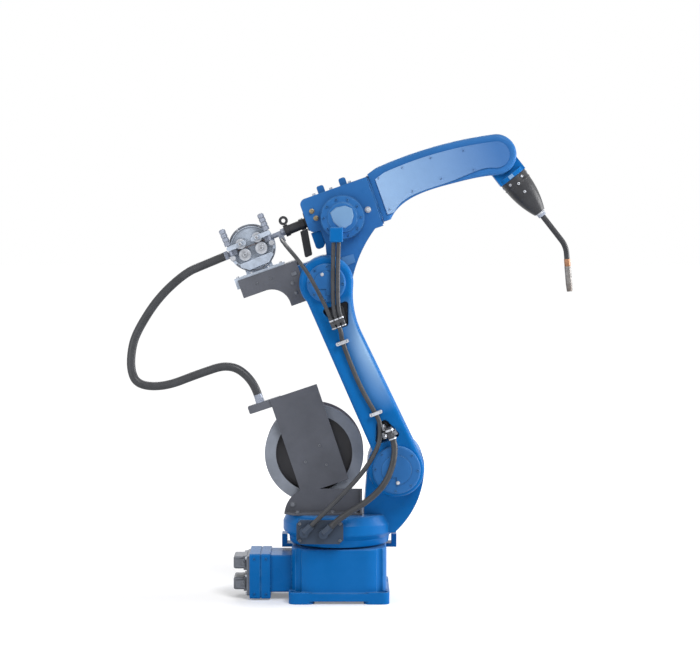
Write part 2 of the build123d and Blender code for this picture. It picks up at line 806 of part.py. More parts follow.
# Elbow casting: hub, neck, gear housing with its side drum, and the pad for the feeder bracket
elbow_half = 66
elbow_hub = 79
elbow_boss = 60
neck_root = (26, 74)
neck_left = 35
housing_low = 152
housing_back = 2
housing_high = 258
housing_front = 218
chin_low = 102
chin_back = 192
throat_mid = (122, 42)
throat_end = (77, -18)
housing_round = 18
roll_boss = 64
drum = (110, 167)
drum_radius = 66
drum_out = 56
drum_far_out = 20
lug_places = (76, 146)
lug_size = 22
lug_round_share = 0.3
lug_y = -32
pad_back = -118
pad_up = 74
pad_down = -32
pad_half = elbow_half
cable_bore = 46
cable_bore_depth = 70
with BuildPart() as elbow_casting:
    with BuildSketch(side_plane(elbow, forearm_pitch, elbow_half)):
        with BuildLine():
            Polyline(
                (0, 0),
                (neck_root[0], neck_root[1]),
                (neck_left, neck_root[1] + neck_left),
                (neck_left, housing_low),
                (housing_back, housing_low),
                (housing_back, housing_high),
                (housing_front, housing_high),
                (housing_front, chin_low),
                (chin_back, chin_low),
            )
            ThreePointArc((chin_back, chin_low), throat_mid, throat_end)
            Line(throat_end, (0, 0))
        make_face()
    extrude(amount=2 * elbow_half)
    back_edges = elbow_casting.edges().filter_by(Axis.Y).sort_by(Axis.X)[0:2]
    fillet(back_edges, housing_round)
    with BuildSketch(side_plane(elbow, forearm_pitch, elbow_half)):
        Circle(elbow_hub)
    extrude(amount=2 * elbow_half)
    with BuildSketch(side_plane(elbow, forearm_pitch, link_half)):
        Circle(elbow_boss)
    extrude(amount=2 * link_half)
    with BuildSketch(side_plane(elbow, forearm_pitch, -link_half)):
        Circle(elbow_boss)
    extrude(amount=link_gap - joint_gap)
    with BuildSketch(side_plane(elbow, forearm_pitch, elbow_half + drum_far_out)):
        with Locations(drum):
            Circle(drum_radius)
    extrude(amount=2 * elbow_half + drum_far_out + drum_out)
    with BuildSketch(side_plane(elbow, forearm_pitch, pad_half)):
        with BuildLine():
            Polyline((pad_back, pad_up), (pad_back, pad_down), (0, pad_down), (0, pad_up), close=True)
        make_face()
    extrude(amount=2 * pad_half)
    with BuildSketch(side_plane(elbow, forearm_pitch, lug_y + lug_size / 2)):
        for along in lug_places:
            with Locations((along, housing_high)):
                RectangleRounded(lug_size, 2 * lug_size, lug_round_share * lug_size)
    extrude(amount=lug_size)
    with BuildSketch(axis_plane(forearm_foot, forearm_pitch, housing_front)):
        Circle(roll_boss)
    extrude(amount=link_gap - joint_gap)
    with BuildSketch(axis_plane(forearm_foot, forearm_pitch, 0)):
        Circle(cable_bore / 2)
    extrude(amount=cable_bore_depth, mode=Mode.SUBTRACT)
    with BuildSketch(axis_plane(forearm_foot, forearm_pitch, 0)):
        Circle(cable_bore / 2)
    extrude(amount=-cable_bore_depth, mode=Mode.SUBTRACT)
save(elbow_casting, "elbow_casting")

save(servo_motor(elbow, forearm_pitch, link_half), "elbow_motor")

# Roll motor tucked under the back of the elbow housing
roll_motor_back = 4
roll_motor_gap = 1
roll_motor_low = 100
roll_motor_half = 52
roll_motor_round = 10
with BuildPart() as roll_motor:
    with BuildSketch(side_plane(elbow, forearm_pitch, roll_motor_half)):
        with BuildLine():
            Polyline(
                (roll_motor_back, housing_low),
                (roll_motor_back, roll_motor_low),
                (neck_root[0], roll_motor_low),
                (neck_left - roll_motor_gap, neck_root[1] + neck_left),
                (neck_left - roll_motor_gap, housing_low),
                close=True,
            )
        make_face()
    extrude(amount=2 * roll_motor_half)
    fillet(roll_motor.edges().filter_by(Axis.Y).sort_by(Axis.Z)[0:2], roll_motor_round)
save(roll_motor, "roll_motor")

# Round covers on both sides of the gear housing
side_cover_radius = 64
side_cover_thick = 9
side_cover_step = 4
side_cover_step_share = 0.72
side_cover_edge = 3
with BuildPart() as side_covers:
    near_face = -elbow_half - drum_out
    far_face = elbow_half + drum_far_out + side_cover_thick
    for start_y in (near_face, far_face):
        with BuildSketch(side_plane(elbow, forearm_pitch, start_y)):
            with Locations(drum):
                Circle(side_cover_radius)
        extrude(amount=side_cover_thick)
    with BuildSketch(side_plane(elbow, forearm_pitch, near_face - side_cover_thick)):
        with Locations(drum):
            Circle(side_cover_step_share * side_cover_radius)
    extrude(amount=side_cover_step)
    chamfer(side_covers.faces().filter_by(Axis.Y).group_by(Axis.Y)[0].edges(), side_cover_edge)
save(side_covers, "side_covers")

# Hose block on the near cover, which leads two hoses straight down past the elbow hub
block_back = 38
block_width = 40
block_drop = 50
block_height = 44
block_round = 5
block_front_y = hose_y - block_round - elbow_hose
block_back_y = near_face - side_cover_thick - side_cover_step
drum_x, drum_z = turned(elbow, forearm_pitch, drum[0], drum[1])
block_low = drum_z - block_drop - block_height / 2
with BuildPart() as hose_block:
    with BuildSketch(side_plane((drum_x, drum_z), 0, block_back_y)):
        with Locations((block_width / 2 - block_back, -block_drop)):
            RectangleRounded(block_width, block_height, block_round)
    extrude(amount=block_back_y - block_front_y)
    fillet(hose_block.faces().sort_by(Axis.Y)[0].edges(), block_round)
save(hose_block, "hose_block")

hose_pitch = 15
block_middle = drum_x + block_width / 2 - block_back
with BuildPart() as elbow_hoses:
    for side, across in zip((-hose_pitch / 2, hose_pitch / 2), elbow_gland_places[1:]):
        runs = (
            (block_middle + side, hose_y, block_low - seat_gap),
            arm_point(across, gland_top + lead, hose_y),
            arm_point(across, gland_top + seat_gap, hose_y),
        )
        add(hose(runs, elbow_hose).part)
save(elbow_hoses, "elbow_hoses")

# Feeder bracket: a bent sheet channel behind the elbow hub
bracket_top = 92
bracket_back = -252
bracket_front = -elbow_boss - link_gap
bracket_low = 36
leg_back = -124
leg_low = -34
arch_radius = 58
with BuildPart() as feeder_bracket:
    for start_y in (-pad_half, pad_half + sheet):
        with BuildSketch(side_plane(elbow, forearm_pitch, start_y)):
            with BuildLine():
                Polyline(
                    (leg_back - arch_radius, bracket_low),
                    (bracket_back, bracket_low),
                    (bracket_back, bracket_top),
                    (bracket_front, bracket_top),
                    (bracket_front, leg_low),
                    (leg_back, leg_low),
                    (leg_back, bracket_low - arch_radius),
                )
                arch_foot = (leg_back, bracket_low - arch_radius)
                RadiusArc(arch_foot, (leg_back - arch_radius, bracket_low), -arch_radius)
            make_face()
        extrude(amount=sheet)
    with BuildSketch(side_plane(elbow, forearm_pitch, pad_half + sheet)):
        with BuildLine():
            Polyline(
                (bracket_back, bracket_top - sheet),
                (bracket_front, bracket_top - sheet),
                (bracket_front, bracket_top),
                (bracket_back, bracket_top),
                close=True,
            )
        make_face()
    extrude(amount=2 * (pad_half + sheet))
save(feeder_bracket, "feeder_bracket")

# Wire feeder's base plate on the bracket
base_plate_thick = 7
base_plate_back = -262
base_plate_front = -104
base_plate_half = 52
base_lip = 26
lip_gap = 1
with BuildPart() as feeder_base:
    with BuildSketch(side_plane(elbow, forearm_pitch, base_plate_half)):
        with BuildLine():
            Polyline(
                (base_plate_back, bracket_top - base_lip),
                (bracket_back - lip_gap, bracket_top - base_lip),
                (bracket_back - lip_gap, bracket_top),
                (base_plate_front, bracket_top),
                (base_plate_front, bracket_top + base_plate_thick),
                (base_plate_back, bracket_top + base_plate_thick),
                close=True,
            )
        make_face()
    extrude(amount=2 * base_plate_half)
save(feeder_base, "feeder_base")

# Wire feeder's drive: a ringed gear plate with two driven rolls and two pressure arms over them
wire_gate_up = 188
feeder_tilt = 3
feeder_pitch = forearm_pitch + feeder_tilt
wire_gate = turned(elbow, forearm_pitch, 0, wire_gate_up)
drive_along = -182
plate_drop = 7
plate_radius = 72
plate_near_y = 10
plate_thick = 34
ring_width = 9
ring_out = 6
guide_tube = 8
roll_pitch = 27
drive_roll = 19
press_roll = 16
roll_half = 7
roll_boss_radius = 7
roll_boss_out = 6
arm_inner = 8
arm_outer = 8
arm_low = 9
arm_high = 23
arm_back_y = -17
arm_front_y = -36
lever_offset = 63
lever_drop = 16
lever_y = (arm_back_y + arm_front_y) / 2
pin_radius = 5
pin_gap = 0.05
rod_radius = 4.5
slot_half = 6.5
slot_run = 9
foot_width = 84
foot_depth = 30
with BuildPart() as feeder_housing:
    plate_back_y = plate_near_y + plate_thick
    with BuildSketch(side_plane(wire_gate, feeder_pitch, plate_back_y)):
        with Locations((drive_along, -plate_drop)):
            Circle(plate_radius)
    extrude(amount=plate_thick)
    with BuildSketch(side_plane(wire_gate, feeder_pitch, plate_near_y)):
        with Locations((drive_along, -plate_drop)):
            Circle(plate_radius)
            Circle(plate_radius - ring_width, mode=Mode.SUBTRACT)
        with Locations((drive_along, 0)):
            Rectangle(2 * plate_radius, 2 * (guide_tube + seat_gap), mode=Mode.SUBTRACT)
    extrude(amount=ring_out)
    with BuildSketch(side_plane(elbow, forearm_pitch, plate_back_y)):
        with Locations((drive_along, bracket_top + base_plate_thick)):
            Rectangle(foot_width, foot_depth, align=(Align.CENTER, Align.MIN))
    extrude(amount=plate_thick)
    for side in (-1, 1):
        with BuildSketch(side_plane(wire_gate, feeder_pitch, roll_half)):
            with Locations((drive_along + side * roll_pitch, -drive_roll - seat_gap)):
                Circle(drive_roll)
            with Locations((drive_along + side * roll_pitch, press_roll + seat_gap)):
                Circle(press_roll)
        extrude(amount=2 * roll_half)
        with BuildSketch(side_plane(wire_gate, feeder_pitch, plate_near_y)):
            with Locations((drive_along + side * roll_pitch, -drive_roll - seat_gap)):
                Circle(roll_boss_radius)
        extrude(amount=plate_near_y + roll_half + roll_boss_out)
        with BuildSketch(side_plane(wire_gate, feeder_pitch, plate_near_y)):
            with Locations((drive_along + side * roll_pitch, press_roll + seat_gap)):
                Circle(roll_boss_radius)
        extrude(amount=plate_near_y - arm_front_y + roll_boss_out)
        with BuildSketch(side_plane(wire_gate, feeder_pitch, plate_near_y)):
            with Locations((drive_along + side * lever_offset, -lever_drop)):
                Circle(pin_radius)
        extrude(amount=plate_near_y - arm_front_y)
        with BuildSketch(side_plane(wire_gate, feeder_pitch, arm_back_y)):
            arm_run = lever_offset + arm_outer - arm_inner
            with Locations((drive_along + side * (arm_inner + arm_run / 2), (arm_low + arm_high) / 2)):
                RectangleRounded(arm_run, arm_high - arm_low, ring_out)
        extrude(amount=arm_back_y - arm_front_y)
        with BuildSketch(side_plane(wire_gate, feeder_pitch, lever_y + slot_half)):
            slot_inner = lever_offset - slot_run
            with Locations((drive_along + side * (slot_inner + slot_run), (arm_low + arm_high) / 2)):
                Rectangle(2 * slot_run, arm_high)
        extrude(amount=2 * slot_half, mode=Mode.SUBTRACT)
save(feeder_housing, "feeder_housing")

feeder_motor_radius = 44
feeder_motor_length = 92
feeder_motor_round = 10
with BuildPart() as feeder_motor:
    motor_y = plate_back_y + feeder_motor_length
    with BuildSketch(side_plane(wire_gate, feeder_pitch, motor_y)):
        with Locations((drive_along, -plate_drop)):
            Circle(feeder_motor_radius)
    extrude(amount=feeder_motor_length)
    fillet(feeder_motor.faces().sort_by(Axis.Y)[-1].edges(), feeder_motor_round)
save(feeder_motor, "feeder_motor")

# Steel wire guides at both ends of the drive, the front one with the cable's side gland
inlet_back = -268
inlet_front = drive_along - roll_pitch - drive_roll
inlet_nut = 15
inlet_nut_length = 12
guide_block = 20
outlet_start = drive_along + roll_pitch + drive_roll
outlet_end = -70
outlet_nut = 13
cable_along = -86
cable_drop = 20
cable_stub = 8
cable_stub_out = 22
with BuildPart() as wire_inlet:
    for start, end in ((inlet_back, inlet_front), (outlet_start, outlet_end)):
        with BuildSketch(axis_plane(wire_gate, feeder_pitch, start)):
            Circle(guide_tube)
        extrude(amount=end - start)
    for place in (inlet_front - guide_block, outlet_start):
        with BuildSketch(axis_plane(wire_gate, feeder_pitch, place, plate_near_y)):
            Rectangle(plate_near_y + guide_tube, 2 * guide_tube, align=(Align.MAX, Align.CENTER))
        extrude(amount=guide_block)
    with BuildSketch(axis_plane(wire_gate, feeder_pitch, inlet_back)):
        RegularPolygon(inlet_nut, 6)
    extrude(amount=inlet_nut_length)
    with BuildSketch(axis_plane(wire_gate, feeder_pitch, outlet_end)):
        RegularPolygon(outlet_nut, 6)
    extrude(amount=-inlet_nut_length)
    with BuildSketch(side_plane(wire_gate, feeder_pitch, guide_tube)):
        with Locations((cable_along, 0)):
            Rectangle(2 * cable_stub, cable_drop + cable_stub, align=(Align.CENTER, Align.MAX))
    extrude(amount=2 * guide_tube)
    with BuildSketch(side_plane(wire_gate, feeder_pitch, -guide_tube)):
        with Locations((cable_along, -cable_drop)):
            Circle(cable_stub)
    extrude(amount=cable_stub_out - guide_tube)
save(wire_inlet, "wire_inlet")

# Torch cable adaptor that enters the back of the elbow housing
adaptor_radius = 15
adaptor_collar = 18
adaptor_collar_length = 14
adaptor_front = -20
with BuildPart() as torch_adaptor:
    with BuildSketch(axis_plane(wire_gate, feeder_pitch, outlet_end)):
        Circle(adaptor_radius)
    extrude(amount=housing_back + cable_bore_depth / 2 - outlet_end)
    for place in (outlet_end, adaptor_front):
        with BuildSketch(axis_plane(wire_gate, feeder_pitch, place)):
            Circle(adaptor_collar)
        extrude(amount=adaptor_collar_length)
    with BuildSketch(axis_plane(forearm_foot, forearm_pitch, housing_back - sheet / 2)):
        Circle(cable_bore / 2 + sheet)
    extrude(amount=sheet / 2)
save(torch_adaptor, "torch_adaptor")

# Adaptor's clamp handle and its ring knob
handle_top_along = -15
handle_low_along = -32
handle_low = -98
handle_half_width = 12
handle_half = 9
handle_round = 5
knob_along = -62
knob_up = 24
knob_radius = 14
knob_hole = 6
knob_half = 6
with BuildPart() as clamp_handle:
    with BuildSketch(side_plane(wire_gate, feeder_pitch, handle_half)):
        handle_top = -adaptor_collar - seat_gap
        with BuildLine():
            Polyline(
                (handle_top_along - handle_half_width, handle_top),
                (handle_low_along - handle_half_width, handle_low),
                (handle_low_along + handle_half_width, handle_low),
                (handle_top_along + handle_half_width, handle_top),
                close=True,
            )
        make_face()
    extrude(amount=2 * handle_half)
    fillet(clamp_handle.edges().filter_by(Axis.Y).sort_by(Axis.Z)[0:2], handle_round)
    with BuildSketch(side_plane(wire_gate, feeder_pitch, knob_half)):
        with Locations((knob_along, knob_up + knob_radius - knob_hole)):
            Circle(knob_radius)
            Circle(knob_hole, mode=Mode.SUBTRACT)
    extrude(amount=2 * knob_half)
save(clamp_handle, "clamp_handle")

# Two tension levers, each turning on its pin under the end of a pressure arm
knob_gap = 2
lever_knob = 10
lever_top = 78
lever_eye = 9
lever_eye_half = 6
lever_round = 4
grip_grooves = 3
grip_depth = 1.5


def tension_lever(along):
    """A lever with an eye on its pin, a rod through the arm's slot and a ribbed knob."""
    with BuildPart() as lever:
        with BuildSketch(side_plane(wire_gate, feeder_pitch, lever_y + lever_eye_half)):
            with Locations((along, -lever_drop)):
                Circle(lever_eye)
        extrude(amount=2 * lever_eye_half)
        foot = turned(wire_gate, feeder_pitch, along, -lever_drop)
        up_plane = axis_plane(foot, feeder_pitch + right_angle, 0, lever_y)
        with BuildSketch(up_plane):
            Circle(rod_radius)
        extrude(amount=lever_top + lever_drop - lever_round)
        knob_foot = arm_high + knob_gap + lever_drop
        with BuildSketch(up_plane.offset(knob_foot)):
            Circle(lever_knob)
        extrude(amount=lever_top + lever_drop - knob_foot)
        fillet(lever.edges().filter_by(GeomType.CIRCLE).sort_by(Axis.Z)[-1], lever_round)
        groove_step = (lever_top + lever_drop - knob_foot) / (grip_grooves + 1)
        for count in range(1, grip_grooves + 1):
            with BuildSketch(up_plane.offset(knob_foot + count * groove_step - grip_depth)):
                Circle(lever_knob + overrun)
                Circle(lever_knob - grip_depth, mode=Mode.SUBTRACT)
            extrude(amount=2 * grip_depth, mode=Mode.SUBTRACT)
        with BuildSketch(side_plane(wire_gate, feeder_pitch, lever_y + lever_eye_half)):
            with Locations((along, -lever_drop)):
                Circle(pin_radius + pin_gap)
        extrude(amount=2 * lever_eye_half, mode=Mode.SUBTRACT)
    return lever


save(tension_lever(drive_along - lever_offset), "rear_lever")
save(tension_lever(drive_along + lever_offset), "front_lever")

# Cable from the feeder's front guide down to the lower arm
cable_x, cable_z = turned(wire_gate, feeder_pitch, cable_along, -cable_drop)
cable_lead = 55
cable_route = ((-74, 138, -150), (-56, 98, -206), (-38, 40, -214))
feeder_cable = hose(
    (
        (cable_x, -cable_stub_out - seat_gap, cable_z),
        (cable_x, -cable_stub_out - cable_lead, cable_z),
        *[elbow_point(*place) for place in cable_route],
        arm_point(elbow_gland_places[0], gland_top + lead, hose_y),
        arm_point(elbow_gland_places[0], gland_top + seat_gap, hose_y),
    ),
    feeder_cable_size,
)
save(feeder_cable, "feeder_cable")

# Wire conduit that loops behind the arm from the feeder to the reel
conduit_end = turned(reel_axis, reel_tilt, fitting_along, bar_top + fitting_nut + ferrule_length)
conduit_lead = 70
conduit_rise = 46
conduit_route = (
    (-467, -10, 993),
    (-549, -20, 918),
    (-608, -28, 826),
    (-633, -36, 728),
    (-611, -42, 652),
    (-528, -47, 648),
    (-428, -50, 687),
    (-330, -53, 720),
)
start_x, start_z = turned(wire_gate, feeder_pitch, inlet_back - seat_gap, 0)
lead_x, lead_z = turned(wire_gate, feeder_pitch, inlet_back - conduit_lead, 0)
rise_x, rise_z = turned(conduit_end, reel_tilt, 0, conduit_rise)
end_x, end_z = turned(conduit_end, reel_tilt, 0, seat_gap)
wire_conduit = hose(
    (
        (start_x, 0, start_z),
        (lead_x, 0, lead_z),
        *conduit_route,
        (rise_x, bar_y, rise_z),
        (end_x, bar_y, end_z),
    ),
    conduit_size,
)
save(wire_conduit, "wire_conduit")

# Forearm: a slim curved casting with a forked end
forearm_start = housing_front + link_gap
forearm_half = 52
root_top = 74
crown_share = 0.42
crown_start = (256, 84)
crown_high = 88
root_bottom = -78
root_run = 22
belly_share = 0.66
belly_low = -39
fork_radius = 62
fork_back = 18
fork_lean = 13
fork_slot = 31
slot_radius = 62
forearm_round = 12
root_slope = 48


def forearm_outline(root_in=0, top_in=0, low_in=0):
    """The side outline of the forearm, along and up from the forearm axis, or one set in from it."""
    start = forearm_start + root_in
    radius = fork_radius - top_in
    fork_top = (forearm_length + fork_lean, ring_point(radius, fork_lean))
    fork_tip = (forearm_length + radius, 0)
    fork_under = (forearm_length - fork_back, -ring_point(radius, fork_back))
    crown = (forearm_start + crown_share * (forearm_length - forearm_start), crown_high - top_in)
    root_end = (start + root_run, root_bottom + root_in)
    belly = (forearm_start + belly_share * (fork_under[0] - forearm_start), belly_low + low_in)
    fork_way = (-ring_point(radius, fork_back) / radius, fork_back / radius)
    root_way = (-cos(radians(root_slope)), -sin(radians(root_slope)))
    with BuildLine() as line:
        Line(root_end, (start, root_bottom + root_in))
        Line((start, root_bottom + root_in), (start, root_top - top_in))
        Line((start, root_top - top_in), (crown_start[0] + root_in, crown_start[1] - top_in))
        ThreePointArc((crown_start[0] + root_in, crown_start[1] - top_in), crown, fork_top)
        ThreePointArc(fork_top, fork_tip, fork_under)
        Spline(fork_under, belly, root_end, tangents=(fork_way, root_way))
    return line.line


with BuildPart() as forearm_casting:
    with BuildSketch(side_plane(forearm_foot, forearm_pitch, forearm_half)):
        add(forearm_outline())
        make_face()
    extrude(amount=2 * forearm_half)
    for order in (0, -1):
        side_face = forearm_casting.faces().sort_by(Axis.Y)[order]
        fillet(side_face.edges().filter_by(GeomType.LINE, reverse=True), forearm_round)
    with BuildSketch(side_plane(forearm_foot, forearm_pitch, fork_slot)):
        with Locations((forearm_length - slot_radius, 0)):
            Rectangle(4 * slot_radius, 4 * slot_radius, align=(Align.MIN, Align.CENTER))
    extrude(amount=2 * fork_slot, mode=Mode.SUBTRACT)
save(forearm_casting, "forearm_casting")

# Flat covers on both sides of the forearm, set in from its outline
panel_root = 17
panel_top = 22
panel_low = 9
panel_sheet = 5
with BuildPart() as forearm_covers:
    for start_y in (-forearm_half, forearm_half + panel_sheet):
        with BuildSketch(side_plane(forearm_foot, forearm_pitch, start_y)):
            add(forearm_outline(panel_root, panel_top, panel_low))
            make_face()
        extrude(amount=panel_sheet)
save(forearm_covers, "forearm_covers")

# Wrist block in the fork, bending about the wrist axis
wrist_half = 26
wrist_radius = 48
wrist_boss = 30
wrist_drum = 46
wrist_drum_start = 73
wrist_drum_end = 87
with BuildPart() as wrist_casting:
    with BuildSketch(side_plane(wrist, tool_pitch, wrist_half)):
        Circle(wrist_radius)
        Rectangle(wrist_drum_end, 2 * wrist_drum, align=(Align.MIN, Align.CENTER))
    extrude(amount=2 * wrist_half)
    with BuildSketch(side_plane(wrist, tool_pitch, fork_slot - joint_gap)):
        Circle(wrist_boss)
    extrude(amount=2 * (fork_slot - joint_gap))
    with BuildSketch(axis_plane(wrist, tool_pitch, wrist_drum_start)):
        Circle(wrist_drum)
    extrude(amount=wrist_drum_end - wrist_drum_start)
save(wrist_casting, "wrist_casting")

# Tool flange and the torch's rounded holder on it
flange_start = wrist_drum_end + joint_gap
flange_end = 95
tool_radius = 44
with BuildPart() as tool_flange:
    with BuildSketch(axis_plane(wrist, tool_pitch, flange_start)):
        Circle(tool_radius)
    extrude(amount=flange_end - flange_start)
save(tool_flange, "tool_flange")

holder_length = 126
holder_foot = 16
holder_wide = 43
holder_middle_share = 0.5
holder_middle = 38
holder_tip = 18
holder_end = flange_end + holder_length
with BuildPart() as torch_holder:
    with BuildSketch(side_plane(wrist, tool_pitch, 0)):
        with BuildLine():
            boot_start = (flange_end + holder_foot, holder_wide)
            boot_middle = (flange_end + holder_middle_share * holder_length, holder_middle)
            boot_end = (holder_end, holder_tip)
            Polyline((holder_end, 0), (flange_end, 0), (flange_end, holder_wide), boot_start)
            ThreePointArc(boot_start, boot_middle, boot_end)
            Line(boot_end, (holder_end, 0))
        make_face()
    revolve(axis=Axis((wrist[0], 0, wrist[1]), axis_plane(wrist, tool_pitch, 0).z_dir))
save(torch_holder, "torch_holder")

collar_radius = 13
collar_length = 14
with BuildPart() as torch_collar:
    with BuildSketch(axis_plane(wrist, tool_pitch, holder_end)):
        Circle(collar_radius)
    extrude(amount=collar_length)
save(torch_collar, "torch_collar")

# Curved torch neck with its insulator and gas nozzle
neck_radius = 8.5
neck_straight = 94
neck_bend = 76
neck_bend_angle = 33
neck_tail = 17
neck_start = turned(wrist, tool_pitch, holder_end + collar_length, 0)
bend_start = turned(neck_start, tool_pitch, neck_straight, 0)
tip_pitch = tool_pitch - neck_bend_angle
bend_corner = turned(bend_start, tool_pitch, neck_bend * tan(radians(neck_bend_angle / 2)), 0)
bend_end = turned(bend_corner, tip_pitch, neck_bend * tan(radians(neck_bend_angle / 2)), 0)
neck_end_point = turned(bend_end, tip_pitch, neck_tail, 0)
with BuildPart() as torch_neck:
    with BuildLine() as neck_line:
        FilletPolyline(
            (neck_start[0], 0, neck_start[1]),
            (bend_corner[0], 0, bend_corner[1]),
            (neck_end_point[0], 0, neck_end_point[1]),
            radius=neck_bend,
        )
    with BuildSketch(axis_plane(neck_start, tool_pitch, 0)):
        Circle(neck_radius)
    sweep(path=neck_line.line)
save(torch_neck, "torch_neck")

insulator_radius = 9.5
insulator_length = 22
with BuildPart() as insulator_ring:
    with BuildSketch(axis_plane(neck_end_point, tip_pitch, 0)):
        Circle(insulator_radius)
    extrude(amount=insulator_length)
save(insulator_ring, "insulator_ring")

nozzle_radius = 10
nozzle_tip_radius = 8.5
nozzle_length = 77
nozzle_taper = 22
nozzle_bore = 6.5
nozzle_bore_depth = 26
tip_radius = 3.5
with BuildPart() as gas_nozzle:
    nozzle_plane = axis_plane(neck_end_point, tip_pitch, insulator_length)
    with BuildSketch(nozzle_plane):
        Circle(nozzle_radius)
    extrude(amount=nozzle_length - nozzle_taper)
    with BuildSketch(nozzle_plane.offset(nozzle_length - nozzle_taper)):
        Circle(nozzle_radius)
    with BuildSketch(nozzle_plane.offset(nozzle_length)):
        Circle(nozzle_tip_radius)
    loft()
    with BuildSketch(nozzle_plane.offset(nozzle_length)):
        Circle(nozzle_bore)
        Circle(tip_radius, mode=Mode.SUBTRACT)
    extrude(amount=-nozzle_bore_depth, mode=Mode.SUBTRACT)
save(gas_nozzle, "gas_nozzle")
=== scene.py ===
import json
import math

import bmesh
import bpy
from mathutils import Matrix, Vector


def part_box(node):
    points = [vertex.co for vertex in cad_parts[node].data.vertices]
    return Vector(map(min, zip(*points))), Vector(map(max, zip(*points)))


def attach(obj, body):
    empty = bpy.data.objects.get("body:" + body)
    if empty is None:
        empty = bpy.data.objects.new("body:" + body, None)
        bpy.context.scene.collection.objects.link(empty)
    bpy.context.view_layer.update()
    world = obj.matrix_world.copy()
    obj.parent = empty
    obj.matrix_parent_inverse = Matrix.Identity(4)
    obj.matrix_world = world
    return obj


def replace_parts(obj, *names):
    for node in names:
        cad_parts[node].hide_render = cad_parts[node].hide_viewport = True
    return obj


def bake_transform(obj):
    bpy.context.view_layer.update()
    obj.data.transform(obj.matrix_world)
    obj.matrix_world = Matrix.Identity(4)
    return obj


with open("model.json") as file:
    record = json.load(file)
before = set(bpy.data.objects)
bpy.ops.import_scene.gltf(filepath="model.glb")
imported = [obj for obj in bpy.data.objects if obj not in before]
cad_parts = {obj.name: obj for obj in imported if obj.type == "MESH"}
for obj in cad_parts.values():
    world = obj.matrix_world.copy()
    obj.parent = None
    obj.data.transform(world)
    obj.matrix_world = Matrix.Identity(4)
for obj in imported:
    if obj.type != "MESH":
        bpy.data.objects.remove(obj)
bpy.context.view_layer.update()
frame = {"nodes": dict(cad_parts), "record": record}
nodes = frame["nodes"]
scene = bpy.context.scene

# Layout of the part, repeated from its source in metres and degrees
SHOULDER = (0.172, 0.410)
ARM_LENGTH = 0.596
ARM_LEAN = 20.6
PITCH = 19.5
ELBOW_RISE = 0.190
FOREARM_LENGTH = 0.610
TOOL_PITCH = -52
FEEDER_PITCH = 22.5
WIRE_GATE_UP = 0.188
REEL = (-0.076, 0.446)
REEL_TILT = 18.5
ARM_NEAR_Y = -0.166
HOSE_Y = -0.200
ELBOW_FACE_Y = -0.066
UP = Vector((0, 0, 1))
NEAR = Vector((0, -1, 0))
FAR = -NEAR


def turned(point, tilt, along, up):
    """The (x, z) of a place given along and up from a point in a frame turned up by tilt degrees."""
    c, s = math.cos(math.radians(tilt)), math.sin(math.radians(tilt))
    return (point[0] + along * c - up * s, point[1] + along * s + up * c)


def heading(tilt):
    """The unit direction in the side view that is turned up by tilt degrees."""
    return Vector((math.cos(math.radians(tilt)), 0, math.sin(math.radians(tilt))))


ELBOW = turned(SHOULDER, ARM_LEAN, 0, ARM_LENGTH)
FOOT = turned(ELBOW, PITCH, 0, ELBOW_RISE)
WRIST = turned(FOOT, PITCH, FOREARM_LENGTH, 0)
GATE = turned(ELBOW, PITCH, 0, WIRE_GATE_UP)
DRUM = turned(ELBOW, PITCH, 0.110, 0.167)
ARM_UP = heading(ARM_LEAN + 90)
ELBOW_UP = heading(PITCH + 90)
FEEDER_UP = heading(FEEDER_PITCH + 90)
TOOL_WAY = heading(TOOL_PITCH)


def at(point, tilt, along, up, y):
    """A place in the row frame, given along and up in a turned side view."""
    x, z = turned(point, tilt, along, up)
    return Vector((x, y, z))


def on_arm(across, up, y):
    """A place on the lower arm, across and up from the shoulder."""
    return at(SHOULDER, ARM_LEAN, across, up, y)


def on_elbow(along, up, y):
    """A place on the elbow, along and up from its axis."""
    return at(ELBOW, PITCH, along, up, y)


def on_forearm(along, up, y):
    """A place on the forearm, along and up from its roll axis."""
    return at(FOOT, PITCH, along, up, y)


def on_feeder(along, up, y):
    """A place on the feeder, along and up from the line of the wire."""
    return at(GATE, FEEDER_PITCH, along, up, y)


def on_tool(along, up, y):
    """A place on the wrist or torch, along and up from the wrist's axis."""
    return at(WRIST, TOOL_PITCH, along, up, y)


